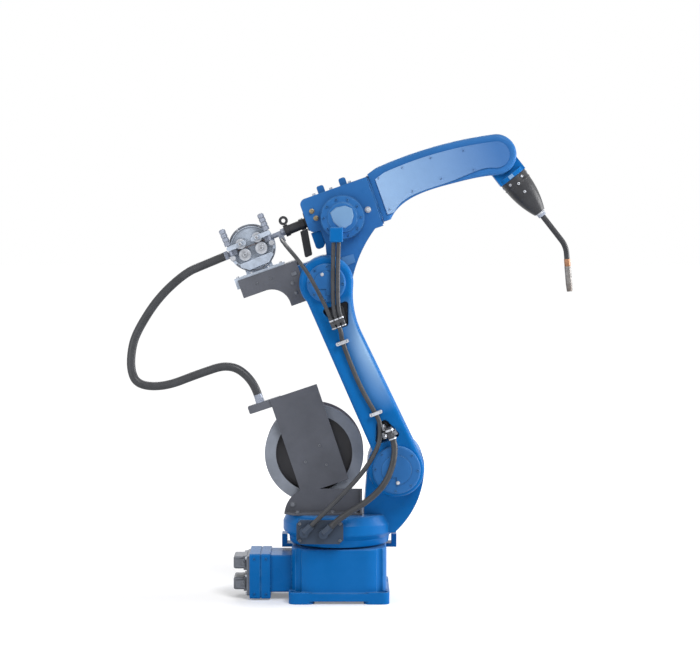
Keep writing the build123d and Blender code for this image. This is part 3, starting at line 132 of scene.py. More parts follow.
# Materials
class Tree:
    """The nodes of a material or of the world, with short ways to add more."""

    def __init__(self, owner):
        owner.use_nodes = True
        self.nodes = owner.node_tree.nodes
        self.links = owner.node_tree.links

    def feed(self, target, value):
        """Links a socket to an input, or sets the input to a value."""
        if isinstance(value, bpy.types.NodeSocket):
            self.links.new(value, target)
        else:
            target.default_value = value

    def add(self, kind, **inputs):
        """A node with its named inputs fed."""
        made = self.nodes.new(kind)
        for key, value in inputs.items():
            self.feed(made.inputs[key], value)
        return made

    def place(self):
        """Where a point of the surface is on its piece."""
        return self.add("ShaderNodeTexCoord").outputs["Object"]

    def number(self, operation, first, second):
        """The number that a math node makes of two others."""
        made = self.add("ShaderNodeMath")
        made.operation = operation
        self.feed(made.inputs[0], first)
        self.feed(made.inputs[1], second)
        return made.outputs[0]

    def measure(self, operation, *vectors):
        """The number that a vector math node makes of vectors."""
        made = self.add("ShaderNodeVectorMath")
        made.operation = operation
        for target, vector in zip(made.inputs, vectors):
            self.feed(target, vector)
        return made.outputs["Value"]

    def spread(self, value, low, high, to_low, to_high):
        """Maps a value from one range to another, clamped."""
        ranged = self.add("ShaderNodeMapRange")
        for target, number in zip(ranged.inputs, (value, low, high, to_low, to_high)):
            self.feed(target, number)
        return ranged.outputs[0]

    def mixed(self, share, first, second):
        """Mixes two colours, each a colour or a socket."""
        mix = self.add("ShaderNodeMix")
        mix.data_type = "RGBA"
        self.feed(mix.inputs[0], share)
        for target, colour in ((mix.inputs[6], first), (mix.inputs[7], second)):
            self.feed(target, (*colour, 1) if isinstance(colour, tuple) else colour)
        return mix.outputs[2]

    def tint(self, share, colour):
        """Mixes a colour into the surface by a share."""
        target = self.nodes["Principled BSDF"].inputs["Base Color"]
        self.feed(target, self.mixed(share, target.links[0].from_socket, colour))


COAT_ROUGHNESS = 0.12
NODE_SAMPLES = 4
CORNER_REACH = 0.025
GRAIN_DEPTH = 0.0006


def surface(
    name,
    colour,
    rough,
    metal=0.0,
    specular=0.3,
    coat=0.0,
    tone=0.12,
    tone_scale=5.0,
    grain=0.12,
    grain_scale=500.0,
    bevel=0.0015,
    edge=None,
    edge_share=0.5,
    dust_and_top_light=None,
    dust_and_top_light_share=0.25,
    corner_shade=0.55,
):
    """A procedural surface with uneven tone, edges lighter from wear and as a painted highlight, upward faces
    lighter from dust and as painted top light, painted shade in corners and fine grain.
    """
    material = bpy.data.materials.new(name)
    tree = Tree(material)
    inputs = tree.nodes["Principled BSDF"].inputs
    tree.feed(inputs["Metallic"], metal)
    tree.feed(inputs["Specular IOR Level"], specular)
    tree.feed(inputs["Coat Weight"], coat)
    tree.feed(inputs["Coat Roughness"], COAT_ROUGHNESS)
    place = tree.place()
    noise = tree.add("ShaderNodeTexNoise", Vector=place, Scale=tone_scale, Detail=5.0, Roughness=0.6)
    broad = noise.outputs[0]
    darker = tuple(c * (1 - tone) for c in colour)
    lighter = tuple(min(1, c * (1 + tone) + 0.004) for c in colour)
    base = tree.mixed(tree.spread(broad, 0.35, 0.65, 0, 1), darker, lighter)
    soft = tree.add("ShaderNodeBevel", Radius=bevel)
    soft.samples = NODE_SAMPLES
    normal = tree.add("ShaderNodeNewGeometry").outputs["Normal"]
    # Upward faces lighter: settled dust, and painted top light where the colour is a paler copy of the paint.
    if dust_and_top_light:
        upward = tree.add("ShaderNodeSeparateXYZ", Vector=normal).outputs["Z"]
        base = tree.mixed(tree.spread(upward, 0.35, 1, 0, dust_and_top_light_share), base, dust_and_top_light)
    # Edges lighter in patches: wear, and a painted highlight along the rounded edges.
    if edge:
        alike = tree.measure("DOT_PRODUCT", soft.outputs[0], normal)
        worn_and_lit = tree.spread(alike, 0.995, 0.9, 0, edge_share)
        patchy = tree.add("ShaderNodeTexNoise", Vector=place, Scale=38.0, Detail=3.0).outputs[0]
        there = tree.spread(patchy, 0.38, 0.6, 0.25, 1)
        base = tree.mixed(tree.number("MULTIPLY", worn_and_lit, there), base, edge)
    # Painted shade: darker towards a dim copy of the colour in corners and recesses, where shade falls.
    corner = tree.add("ShaderNodeAmbientOcclusion", Distance=CORNER_REACH)
    corner.only_local = True
    corner.samples = NODE_SAMPLES
    shaded_corners = tree.spread(corner.outputs["AO"], 0.35, 0.85, corner_shade, 0)
    tree.feed(inputs["Base Color"], tree.mixed(shaded_corners, base, tuple(0.3 * c for c in colour)))
    tree.feed(inputs["Roughness"], tree.spread(broad, 0.3, 0.7, rough - 0.06, rough + 0.08))
    fine = tree.add("ShaderNodeTexNoise", Vector=place, Scale=grain_scale, Detail=2.0)
    bump = tree.add("ShaderNodeBump", Strength=grain, Distance=GRAIN_DEPTH)
    tree.feed(bump.inputs["Height"], fine.outputs[0])
    tree.feed(bump.inputs["Normal"], soft.outputs[0])
    tree.feed(inputs["Normal"], bump.outputs[0])
    return material


def enamel(name, colour, tone, edge, dust_and_top_light, dust_and_top_light_share):
    """Blue enamel of the castings."""
    return surface(
        name, colour, 0.30, specular=0.06, coat=0.02, tone=tone, grain=0.04, grain_scale=320, bevel=0.004,
        edge=edge, edge_share=0.75, dust_and_top_light=dust_and_top_light, dust_and_top_light_share=dust_and_top_light_share,
    )


def powder_coat(name, colour, rough, tone, tone_scale, grain, edge, dust_and_top_light):
    """Dark powder coat of the sheet metal."""
    return surface(
        name, colour, rough, specular=0.3, tone=tone, tone_scale=tone_scale, grain=grain, grain_scale=900,
        bevel=0.0012, edge=edge, edge_share=0.5, dust_and_top_light=dust_and_top_light, dust_and_top_light_share=0.3,
    )


# Its paler blue edge and top colours are a painted highlight and painted top light as well as wear and dust.
DEEP_BLUE = dict(
    colour=(0.0012, 0.117, 0.375), tone=0.06, edge=(0.07, 0.24, 0.55), dust_and_top_light=(0.12, 0.27, 0.5), dust_and_top_light_share=0.4,
)
blue_paint = enamel("blue_enamel", **DEEP_BLUE)
# A paler copy of the blue enamel for the hub covers and the upper castings: a painted reflection.
lit_upper_blue = enamel(
    "lit_upper_enamel", (0.026, 0.132, 0.365), 0.08, (0.09, 0.25, 0.53), (0.12, 0.26, 0.48), 0.45,
)
# Pale blue of the raised shield and of the wrist's facet: a painted highlight.
highlight_blue = surface(
    "highlight_blue", (0.16, 0.30, 0.50), 0.34, specular=0.2, coat=0.1, tone=0.06, grain=0.04, bevel=0.002,
    edge=(0.35, 0.5, 0.7), edge_share=0.4,
)
# Pale blue of the neck pad: a painted highlight.
pad_highlight_blue = surface(
    "pad_highlight_blue", (0.075, 0.205, 0.43), 0.34, specular=0.1, tone=0.06, grain=0.04, bevel=0.002,
)
dark_sheet = powder_coat(
    "dark_powder_coat", (0.088, 0.094, 0.113), 0.5, 0.13, 9, 0.35, (0.22, 0.23, 0.26), (0.2, 0.21, 0.23),
)
stand_sheet = powder_coat(
    "stand_powder_coat", (0.069, 0.074, 0.091), 0.5, 0.16, 7, 0.35, (0.2, 0.21, 0.24), (0.17, 0.18, 0.2),
)
dark_plate = powder_coat(
    "dark_plate", (0.027, 0.043, 0.073), 0.45, 0.13, 9, 0.3, (0.16, 0.18, 0.22), (0.12, 0.13, 0.15),
)
motor_black = surface(
    "satin_black", (0.016, 0.017, 0.020), 0.42, specular=0.35, grain=0.12, edge=(0.09, 0.09, 0.10),
    edge_share=0.4, dust_and_top_light=(0.06, 0.06, 0.065), dust_and_top_light_share=0.35,
)
cast_aluminium = surface(
    "cast_aluminium", (0.43, 0.49, 0.58), 0.45, metal=0.35, specular=0.4, tone=0.14, tone_scale=30,
    grain=0.3, grain_scale=420, corner_shade=0.85, bevel=0.001, edge=(0.75, 0.79, 0.85), edge_share=0.6,
)
plated_steel = surface(
    "plated_steel", (0.46, 0.48, 0.52), 0.32, metal=0.7, tone=0.16, tone_scale=45, grain=0.06, corner_shade=0.8,
    bevel=0.0008, edge=(0.8, 0.81, 0.83), edge_share=0.4,
)
dark_steel = surface(
    "dark_fittings", (0.05, 0.052, 0.058), 0.34, metal=0.5, tone=0.2, tone_scale=60, grain=0.15,
    bevel=0.0008, edge=(0.45, 0.46, 0.48), edge_share=0.55,
)
rubber = surface(
    "black_rubber", (0.028, 0.030, 0.035), 0.44, specular=0.42, tone=0.2, tone_scale=24, grain=0.3,
    grain_scale=700, bevel=0.0006, dust_and_top_light=(0.10, 0.10, 0.105), dust_and_top_light_share=0.35,
)
torch_black = surface(
    "moulded_black", (0.019, 0.020, 0.024), 0.4, specular=0.35, tone=0.15, tone_scale=25, grain=0.25,
    edge=(0.10, 0.10, 0.11), edge_share=0.4, dust_and_top_light=(0.06, 0.06, 0.065), dust_and_top_light_share=0.3,
)
grey_metal = surface(
    "grey_zinc", (0.125, 0.135, 0.158), 0.42, metal=0.35, specular=0.4, tone=0.18, tone_scale=40, grain=0.3,
    grain_scale=380, bevel=0.001, edge=(0.32, 0.34, 0.37), edge_share=0.6,
)
lever_grey = surface(
    "lever_grey", (0.27, 0.30, 0.37), 0.4, metal=0.3, specular=0.4, tone=0.15, tone_scale=40, grain=0.15,
    edge=(0.55, 0.58, 0.63), edge_share=0.6, corner_shade=0.8,
)
copper = surface(
    "copper", (0.27, 0.135, 0.075), 0.42, metal=0.6, tone=0.3, tone_scale=50, grain=0.1, bevel=0.0006,
)
brass = surface(
    "brass", (0.25, 0.20, 0.12), 0.4, metal=0.6, tone=0.2, tone_scale=60, grain=0.1, bevel=0.0006,
)


def reflection_gradient_enamel():
    """Enamel of the forearm's covers, pale at the elbow's end and deeper towards the wrist; the paleness and
    its change along the forearm are a painted reflection.
    """
    material = surface(
        "forearm_cover_blue", (0.265, 0.415, 0.64), 0.34, specular=0.2, coat=0.1, tone=0.05, grain=0.04,
        grain_scale=320, bevel=0.002, edge=(0.3, 0.45, 0.68), edge_share=0.5,
    )
    tree = Tree(material)
    start = on_forearm(0.24, 0, 0)
    run = on_forearm(0.62, 0.01, 0) - start
    along = tree.measure("DOT_PRODUCT", tree.place(), run / run.length_squared)
    offset = start.dot(run) / run.length_squared
    tree.tint(tree.spread(along, offset, offset + 1, 0, 1), (0.045, 0.145, 0.37))
    return material


def painted_sheen_enamel():
    """Deep blue enamel with a painted sheen: a pale painted reflection along the front of the lower arm's
    near side.
    """
    material = enamel("lower_arm_blue", **DEEP_BLUE)
    tree = Tree(material)
    place = tree.place()
    root = Vector((SHOULDER[0], 0, SHOULDER[1]))
    share = 0.72
    for way, low, high, first, last in (
        (heading(ARM_LEAN), -0.012, 0.040, 0, 1),
        (ARM_UP, 0.17, 0.36, 0, 1),
        (ARM_UP, 0.40, 0.54, 1, 0),
        (NEAR, -ARM_NEAR_Y - 0.004, -ARM_NEAR_Y - 0.001, 0, 1),
    ):
        reach = tree.measure("DOT_PRODUCT", place, way)
        start = root.dot(way)
        share = tree.number("MULTIPLY", share, tree.spread(reach, start + low, start + high, first, last))
    tree.tint(share, (0.36, 0.54, 0.75))
    return material


def flange_plastic():
    """Grey plastic of the spool, with the middle of its flanges dark."""
    material = surface(
        "spool_plastic", (0.19, 0.21, 0.25), 0.45, specular=0.35, tone=0.12, tone_scale=14, grain=0.15,
        edge=(0.3, 0.32, 0.37), edge_share=0.4,
    )
    tree = Tree(material)
    dark_radius = 0.1165
    parts = tree.add("ShaderNodeSeparateXYZ", Vector=tree.place()).outputs
    flat = tree.add("ShaderNodeCombineXYZ", X=parts["X"], Z=parts["Z"]).outputs[0]
    apart = tree.measure("DISTANCE", flat, (REEL[0], 0, REEL[1]))
    tree.tint(tree.spread(apart, dark_radius - 0.001, dark_radius, 1, 0), (0.035, 0.035, 0.042))
    return material


def wound_surface():
    """Coppered wire: fine windings across the spool, as bands of light and dark with a bump."""
    material = surface(
        "weld_wire", (0.40, 0.20, 0.11), 0.34, metal=0.75, tone=0.08, tone_scale=12, grain=0.05,
    )
    tree = Tree(material)
    bands = tree.add("ShaderNodeTexWave", Vector=tree.place(), Scale=75, Distortion=0.3)
    bands.wave_type = "BANDS"
    bands.bands_direction = "Y"
    tree.tint(tree.spread(bands.outputs["Fac"], 0, 0.45, 0.75, 0), (0.10, 0.045, 0.025))
    bump = tree.add("ShaderNodeBump", Strength=0.8, Distance=0.0015, Height=bands.outputs["Fac"])
    tree.feed(tree.nodes["Principled BSDF"].inputs["Normal"], bump.outputs[0])
    return material


def stained_metal():
    """Nozzle metal that darkens and browns towards the tip."""
    material = surface(
        "nozzle_metal", (0.185, 0.176, 0.170), 0.42, metal=0.5, tone=0.2, tone_scale=70, grain=0.12,
        grain_scale=260, edge=(0.5, 0.48, 0.46), edge_share=0.25,
    )
    tree = Tree(material)
    height = tree.add("ShaderNodeSeparateXYZ", Vector=tree.place()).outputs["Z"]
    low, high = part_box("gas_nozzle")
    stain_top = low[2] + 0.45 * (high[2] - low[2])
    tree.tint(tree.spread(height, low[2], stain_top, 0.7, 0), (0.10, 0.075, 0.06))
    return material


cover_blue = reflection_gradient_enamel()
slot_materials = {
    "blue_paint": blue_paint,
    "dark_sheet": dark_sheet,
    "motor_black": motor_black,
    "cast_aluminium": cast_aluminium,
    "plated_steel": plated_steel,
    "spool_plastic": flange_plastic(),
    "weld_wire": wound_surface(),
    "hose_rubber": rubber,
    "torch_black": torch_black,
    "copper": copper,
    "nozzle_metal": stained_metal(),
}
# The lower arm and the forearm's covers carry painted reflections, and the hub covers and upper castings the
# paler, lit copy of the enamel.
node_materials = {
    "forearm_covers": cover_blue,
    "lower_arm_casting": painted_sheen_enamel(),
    "hub_covers": lit_upper_blue,
    "elbow_casting": lit_upper_blue,
    "side_covers": lit_upper_blue,
    "forearm_casting": lit_upper_blue,
    "torch_collar": lever_grey,
    "hose_plate": dark_plate,
    "reel_stand": stand_sheet,
    "rear_plugs": grey_metal,
    "rear_lever": lever_grey,
    "front_lever": lever_grey,
    "wire_inlet": lever_grey,
    "reel_fitting": lever_grey,
    "reel_spindle": lever_grey,
    "connector_panel": grey_metal,
    "elbow_glands": dark_steel,
    "shoulder_glands": dark_steel,
}
for entry in frame["record"]["subparts"]:
    name = entry["node"]
    chosen = node_materials.get(name, slot_materials[entry["material_slot"]])
    nodes[name].data.materials.clear()
    nodes[name].data.materials.append(chosen)


# Small pieces, collected by body and material
class Group:
    """Meshes of one body and one material, made into one piece."""

    def __init__(self, name, body, slot, material):
        self.name, self.body, self.slot, self.material = name, body, slot, material
        self.mesh = bmesh.new()

    def corners(self, centre, first, second, radius, sides):
        """Corners evenly round a centre, in the plane of two directions."""
        angles = [2 * math.pi * k / sides for k in range(sides)]
        ways = [math.cos(a) * first + math.sin(a) * second for a in angles]
        return [self.mesh.verts.new(centre + radius * way) for way in ways]

    def ring(self, centre, axis, radius, sides):
        """A ring of corners round an axis."""
        axis = Vector(axis).normalized()
        upright = abs(axis.z) >= 0.9
        first = (axis.orthogonal() if upright else axis.cross(UP)).normalized()
        return self.corners(Vector(centre), first, axis.cross(first), radius, sides)

    def skin(self, rings, closed=True):
        """Faces between rings of equal size, with end caps if closed."""
        for low, high in zip(rings, rings[1:]):
            for k in range(len(low)):
                nxt = (k + 1) % len(low)
                self.mesh.faces.new((low[k], low[nxt], high[nxt], high[k]))
        if closed:
            self.mesh.faces.new(list(reversed(rings[0])))
            self.mesh.faces.new(rings[-1])

    def turned_piece(self, foot, axis, profile, sides):
        """A round or many-sided piece from its (height, radius) profile along an axis."""
        axis = Vector(axis).normalized()
        self.skin([self.ring(Vector(foot) + h * axis, axis, r, sides) for h, r in profile])

    def disc(self, foot, axis, radius, height, sides):
        """A plain round or many-sided disc."""
        self.turned_piece(foot, axis, ((0, radius), (height, radius)), sides)

    def cap_screw(self, foot, axis, radius, height):
        """A socket-head screw with its hole."""
        edge = 0.14 * radius
        hole = 0.56 * radius
        hole_floor = 0.45 * height
        rim = ((0, radius), (height - edge, radius), (height, radius - edge))
        self.turned_piece(foot, axis, (*rim, (height, hole), (hole_floor, hole)), 12)

    def hex_bolt(self, foot, axis, radius, height):
        """A six-sided head on a washer."""
        washer = 0.25 * height
        self.disc(foot, axis, 1.35 * radius, washer, 20)
        top = Vector(foot) + washer * Vector(axis).normalized()
        head = ((0, radius), (0.65 * height, radius), (0.75 * height, 0.86 * radius))
        self.turned_piece(top, axis, head, 6)

    def block(self, corners_low, corners_high):
        """A closed block between two loops of corners."""
        self.skin([[self.mesh.verts.new(c) for c in loop] for loop in (corners_low, corners_high)])

    def plate(self, outline, push):
        """A flat plate of an outline, as thick as the push."""
        self.block(outline, [Vector(p) + Vector(push) for p in outline])

    def tube(self, line, radii, sides):
        """A round tube along points, with a radius for each."""
        steps = [(b - a).normalized() for a, b in zip(line, line[1:])]
        middles = [(a + b).normalized() for a, b in zip(steps, steps[1:])]
        across = steps[0].orthogonal().normalized()
        rings = []
        for point, way, radius in zip(line, [steps[0], *middles, steps[-1]], radii):
            across = (across - across.dot(way) * way).normalized()
            rings.append(self.corners(point, across, way.cross(across), radius, sides))
        self.skin(rings)

    def done(self, ride=True, smooth=40):
        """The finished piece, which rides on its body unless it is to bend."""
        bmesh.ops.recalc_face_normals(self.mesh, faces=self.mesh.faces)
        data = bpy.data.meshes.new(self.name)
        self.mesh.to_mesh(data)
        self.mesh.free()
        data.materials.append(self.material)
        piece = bpy.data.objects.new(self.name, data)
        scene.collection.objects.link(piece)
        data.polygons.foreach_set("use_smooth", [True] * len(data.polygons))
        data.set_sharp_from_angle(angle=math.radians(smooth))
        if ride:
            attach(piece, self.body)
        return piece


def circle_places(centre, tilt, radius, count, y, first):
    """Places round a centre in the side view, from a first angle on."""
    ways = [heading(tilt + first + 360 * k / count) for k in range(count)]
    return [Vector((centre[0] + radius * way.x, y, centre[1] + radius * way.z)) for way in ways]


# Base: screws and catches on the connector panel, and screws on the side of the rear box
PANEL_X = -0.281
BOX_SIDE_Y = -0.084
CATCH_ARM = ((-0.006, -0.013), (-0.034, -0.010), (-0.034, 0.010), (-0.006, 0.013))
base_screws = Group("base_screws", "base", "plated_steel", plated_steel)
for y in (-0.069, 0.069):
    for z in (0.020, 0.0735, 0.127):
        base_screws.cap_screw((PANEL_X, y, z), (-1, 0, 0), 0.0045, 0.004)
catches = Group("plug_catches", "base", "plated_steel", grey_metal)
for z in (0.0465, 0.1105):
    for y, side in ((-0.059, NEAR), (0.059, FAR)):
        catches.plate([(PANEL_X + along, y, z + up) for along, up in CATCH_ARM], 0.003 * side)
        catches.disc((PANEL_X - 0.012, y, z), side, 0.005, 0.006, 14)
box_screws = Group("box_screws", "base", "blue_paint", blue_paint)
for x in (-0.222, -0.258):
    for z in (0.020, 0.127):
        box_screws.cap_screw((x, BOX_SIDE_Y, z), NEAR, 0.004, 0.003)
box_screws.done()
base_screws.done()
catches.done()

# Turret: screws of the hose plate, bowl and reel stand, the spindle's end and a skirt in the swivel gap
PLATE_FACE_Y = -0.184
BOWL_TOP = 0.264
BOWL_SCREW_RING = 0.143
STAND_FACE_Y = -0.072
STAND_FOOT_Y = -0.097
STAND_FOOT_TOP = 0.270
turret_screws = Group("turret_screws", "turret", "plated_steel", grey_metal)
for x in (-0.117, 0.003):
    for z in (0.199, 0.249):
        turret_screws.cap_screw((x, PLATE_FACE_Y, z), NEAR, 0.0045, 0.004)
for angle in (150, 172, 194, 60, 82, 104, 126):
    way = heading(angle)
    turret_screws.cap_screw((BOWL_SCREW_RING * way.x, BOWL_SCREW_RING * way.z, BOWL_TOP), UP, 0.0065, 0.007)
turret_screws.hex_bolt((-0.140, STAND_FACE_Y, 0.292), NEAR, 0.006, 0.007)
for x in (-0.125, -0.02, 0.05):
    turret_screws.hex_bolt((x, STAND_FOOT_Y, STAND_FOOT_TOP), UP, 0.006, 0.007)
turret_screws.done()
stand_screws = Group("stand_screws", "turret", "dark_sheet", grey_metal)
for along, up in ((0.0165, 0.0256), (-0.026, -0.024), (0.038, -0.032)):
    stand_screws.cap_screw((REEL[0] + along, STAND_FACE_Y, REEL[1] + up), NEAR, 0.004, 0.003)
stand_screws.done()
nut_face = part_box("reel_spindle")[1][1]
spindle_end = Group("spindle_end", "turret", "plated_steel", plated_steel)
spindle_profile = ((0, 0.010), (0.006, 0.010), (0.0075, 0.008))
spindle_end.turned_piece((REEL[0], nut_face, REEL[1]), FAR, spindle_profile, 24)
spindle_end.done()
skirt = Group("turret_skirt", "turret", "blue_paint", blue_paint)
skirt_profile = (
    (0.171, 0.128), (0.171, 0.147), (0.175, 0.1510), (0.192, 0.153), (0.199, 0.158), (0.207, 0.166),
    (0.212, 0.169), (0.214, 0.128), (0.171, 0.128),
)
skirt.skin([skirt.ring((0, 0, z), UP, r, 96) for z, r in skirt_profile], closed=False)
bmesh.ops.remove_doubles(skirt.mesh, verts=skirt.mesh.verts, dist=1e-6)
skirt.done()

# Lower arm: screws of its covers and clamps, hub plugs, rings on the glands, fittings and dark sheets on the
# pocket floors, painted shade in the pockets
COVER_FACE_Y = -0.180
PLUG_FACE_Y = COVER_FACE_Y - 0.003
CLAMP_FACE_Y = ARM_NEAR_Y - 0.024
FITTING_Y = -0.156
POCKET_Y = -0.1362
CABLE_GLAND = -0.024
HOSE_GLANDS = (-0.009, 0.006)
THICK_GLAND = 0.022
UPPER_POCKET = ((-0.040, 0.522), (-0.016, 0.458), (0.016, 0.458), (0.040, 0.522))
LOWER_POCKET = ((-0.004, 0.148), (-0.029, 0.094), (0.045, 0.094), (0.020, 0.148))
arm_screws = Group("arm_screws", "lower_arm", "blue_paint", lit_upper_blue)
for centre, radius in ((SHOULDER, 0.0635), (ELBOW, 0.050)):
    for place in circle_places(centre, ARM_LEAN, radius, 8, COVER_FACE_Y, 22.5):
        arm_screws.cap_screw(place, NEAR, 0.0042, 0.0022)
arm_screws.done()
arm_plugs = Group("arm_plugs", "lower_arm", "plated_steel", plated_steel)
arm_plugs.hex_bolt((SHOULDER[0] + 0.004, PLUG_FACE_Y, SHOULDER[1] - 0.038), NEAR, 0.0042, 0.005)
arm_plugs.hex_bolt((ELBOW[0] - 0.012, PLUG_FACE_Y, ELBOW[1] + 0.026), NEAR, 0.0038, 0.004)
for across, up in ((-0.017, 0.414), (0.002, 0.181)):
    for side in (-0.0135, 0.0135):
        arm_plugs.cap_screw(on_arm(across + side, up, CLAMP_FACE_Y), NEAR, 0.0033, 0.003)
for across in (CABLE_GLAND, *HOSE_GLANDS):
    arm_plugs.disc(on_arm(across, 0.484, HOSE_Y), ARM_UP, 0.0082, 0.004, 18)
    arm_plugs.disc(on_arm(across, 0.461, HOSE_Y), ARM_UP, 0.0078, 0.003, 18)
arm_plugs.disc(on_arm(THICK_GLAND, 0.119, HOSE_Y), ARM_UP, 0.0135, 0.006, 20)
arm_plugs.disc(on_arm(THICK_GLAND, 0.093, HOSE_Y), ARM_UP, 0.0125, 0.004, 20)
for across, up in ((0.002, 0.098), (0.038, 0.098), (0.008, 0.122)):
    foot = on_arm(across, up, FITTING_Y)
    arm_plugs.disc(foot, ARM_UP, 0.0065, 0.018, 16)
    arm_plugs.disc(foot + 0.004 * ARM_UP, ARM_UP, 0.0085, 0.008, 6)
arm_plugs.done()
# Dark sheets on the pocket floors: painted shade in the recesses.
pocket_shade = Group("pocket_shade_sheets", "lower_arm", "motor_black", motor_black)
for shape in (UPPER_POCKET, LOWER_POCKET):
    pocket_shade.plate([on_arm(across, up, POCKET_Y) for across, up in shape], 0.0006 * NEAR)
pocket_shade.done()

# Elbow: cover screws, a raised shield on the near cover, coloured pale as a painted highlight, bolts, the
# bracket's tab, ports, a seal and a pale pad that is a painted highlight
NEAR_COVER_Y = -0.131
FAR_COVER_Y = 0.095
SHIELD_Y = -0.135
BRACKET_FACE_Y = -0.072
SHIELD_SHAPE = (
    (-0.030, 0.026), (-0.008, 0.035), (0.020, 0.031), (0.036, 0.016), (0.034, -0.006), (0.020, -0.026),
    (-0.002, -0.033), (-0.020, -0.024), (-0.030, -0.004),
)
TAB_SHAPE = ((-0.0925, 0.0505), (-0.0765, 0.0505), (-0.0765, 0.0605), (-0.0925, 0.0605))
SEAL_SHAPE = (
    (-0.056, -0.066), (-0.040, -0.083), (0.040, -0.083), (0.056, -0.066), (0.056, 0.056), (0.040, 0.070),
    (-0.040, 0.070), (-0.056, 0.056),
)
PAD_SHAPE = ((0.060, 0.024), (0.102, 0.026), (0.104, 0.052), (0.066, 0.054))
elbow_screws = Group("elbow_screws", "elbow", "blue_paint", lit_upper_blue)
for y, way in ((NEAR_COVER_Y, NEAR), (FAR_COVER_Y, FAR)):
    for place in circle_places(DRUM, PITCH, 0.0555, 10, y, 18):
        elbow_screws.cap_screw(place, way, 0.0042, 0.004)
elbow_screws.done()
# The shield's pale blue is a painted highlight on the cover's flat face.
shield = Group("side_shield", "elbow", "blue_paint", highlight_blue)
shield_low = [at(DRUM, PITCH, along, up, SHIELD_Y) for along, up in SHIELD_SHAPE]
shield_high = [at(DRUM, PITCH, 0.94 * along, 0.94 * up, SHIELD_Y - 0.0022) for along, up in SHIELD_SHAPE]
shield.block(shield_low, shield_high)
shield.done()
elbow_bolts = Group("elbow_bolts", "elbow", "plated_steel", plated_steel)
elbow_bolts.hex_bolt(on_elbow(0.190, 0.163, ELBOW_FACE_Y), NEAR, 0.007, 0.008)
for along in (0.050, 0.105, 0.165):
    elbow_bolts.cap_screw(on_elbow(along, 0.258, 0.036), ELBOW_UP, 0.0055, 0.006)
elbow_bolts.done()
tab = Group("bracket_tab", "elbow", "dark_sheet", grey_metal)
tab.plate([on_elbow(along, up, BRACKET_FACE_Y) for along, up in TAB_SHAPE], 0.003 * NEAR)
for up in (0.030, 0.0):
    tab.hex_bolt(on_elbow(-0.098, up, BRACKET_FACE_Y), NEAR, 0.0045, 0.005)
for along in (-0.199, -0.155):
    tab.cap_screw(on_elbow(along, 0.066, BRACKET_FACE_Y), NEAR, 0.0038, 0.003)
tab.done()
ports = Group("elbow_ports", "elbow", "plated_steel", brass)
port_profile = ((0, 0.0078), (0.004, 0.0078), (0.005, 0.005), (0.012, 0.005))
for along, up in ((0.029, 0.215), (0.034, 0.191)):
    ports.turned_piece(on_elbow(along, up, ELBOW_FACE_Y), NEAR, port_profile, 18)
ports.done()
seal = Group("roll_seal", "elbow", "blue_paint", lit_upper_blue)
seal.block(*([on_forearm(along, up, y) for y, up in SEAL_SHAPE] for along in (0.2182, 0.2230)))
seal.done()
# A thin pale plate on the neck, a painted highlight of a flat face catching the light.
highlight_pad = Group("neck_highlight_pad", "elbow", "blue_paint", pad_highlight_blue)
highlight_pad.plate([on_elbow(along, up, ELBOW_FACE_Y) for along, up in PAD_SHAPE], 0.002 * NEAR)
highlight_pad.done()

# Feeder: roll faces and screws, a gear cover, the bare wire, caps on the levers and a dark trim on the ring,
# a painted shadow of its rim
ROLL_FACE_Y = -0.007
ARM_FACE_Y = -0.036
LEVER_Y = -0.0265
DRIVE = -0.182
ROLL_SIDE = 0.027
LEVER_SIDE = 0.063
LOWER_ROLL = (-0.0193, 0.019)
UPPER_ROLL = (0.0163, 0.016)
RING_CENTRE = turned(GATE, FEEDER_PITCH, DRIVE, -0.007)
GEAR_COVER = (
    (-0.052, -0.041), (0.052, -0.041), (0.054, -0.050), (0.032, -0.068), (-0.032, -0.068), (-0.054, -0.050),
)
TRIM_SECTION = ((0.0655, 0.0042), (0.0715, 0.0042), (0.0705, 0.0022), (0.0665, 0.0022))
TRIM_STEPS = 24
WIRE_RADIUS = 0.0007
feeder_steel = Group("feeder_rolls", "elbow", "plated_steel", plated_steel)
for side in (-ROLL_SIDE, ROLL_SIDE):
    for up, radius in (LOWER_ROLL, UPPER_ROLL):
        face = on_feeder(DRIVE + side, up, ROLL_FACE_Y)
        roll_profile = ((0, radius - 0.001), (0.0015, radius - 0.001), (0.002, radius - 0.004))
        feeder_steel.turned_piece(face, NEAR, roll_profile, 28)
        feeder_steel.disc(face + 0.002 * NEAR, NEAR, 0.0085, 0.0045, 20)
    feeder_steel.cap_screw(on_feeder(DRIVE + side, LOWER_ROLL[0], ROLL_FACE_Y - 0.006), NEAR, 0.0062, 0.006)
    feeder_steel.cap_screw(on_feeder(DRIVE + side, UPPER_ROLL[0], ARM_FACE_Y - 0.006), NEAR, 0.0058, 0.005)
for place in circle_places(RING_CENTRE, FEEDER_PITCH, 0.0675, 6, 0.004, 48):
    feeder_steel.cap_screw(place, NEAR, 0.0036, 0.0035)
for along in (-0.250, -0.205, -0.150, -0.112):
    feeder_steel.cap_screw(on_elbow(along, 0.099, -0.044), ELBOW_UP, 0.0045, 0.0045)
for side in (-LEVER_SIDE, LEVER_SIDE):
    feeder_steel.disc(on_feeder(DRIVE + side, -0.016, ARM_FACE_Y), NEAR, 0.0075, 0.002, 20)
feeder_steel.done()
feeder_cover = Group("feeder_gear_cover", "elbow", "cast_aluminium", cast_aluminium)
feeder_cover.plate([on_feeder(DRIVE + along, up, 0.010) for along, up in GEAR_COVER], 0.014 * NEAR)
feeder_cover.done()
wire = Group("bare_wire", "elbow", "weld_wire", copper)
wire_line = [on_feeder(along, 0, 0) for along in (-0.226, DRIVE, -0.130)]
wire.tube(wire_line, [WIRE_RADIUS] * len(wire_line), 8)
wire.done()
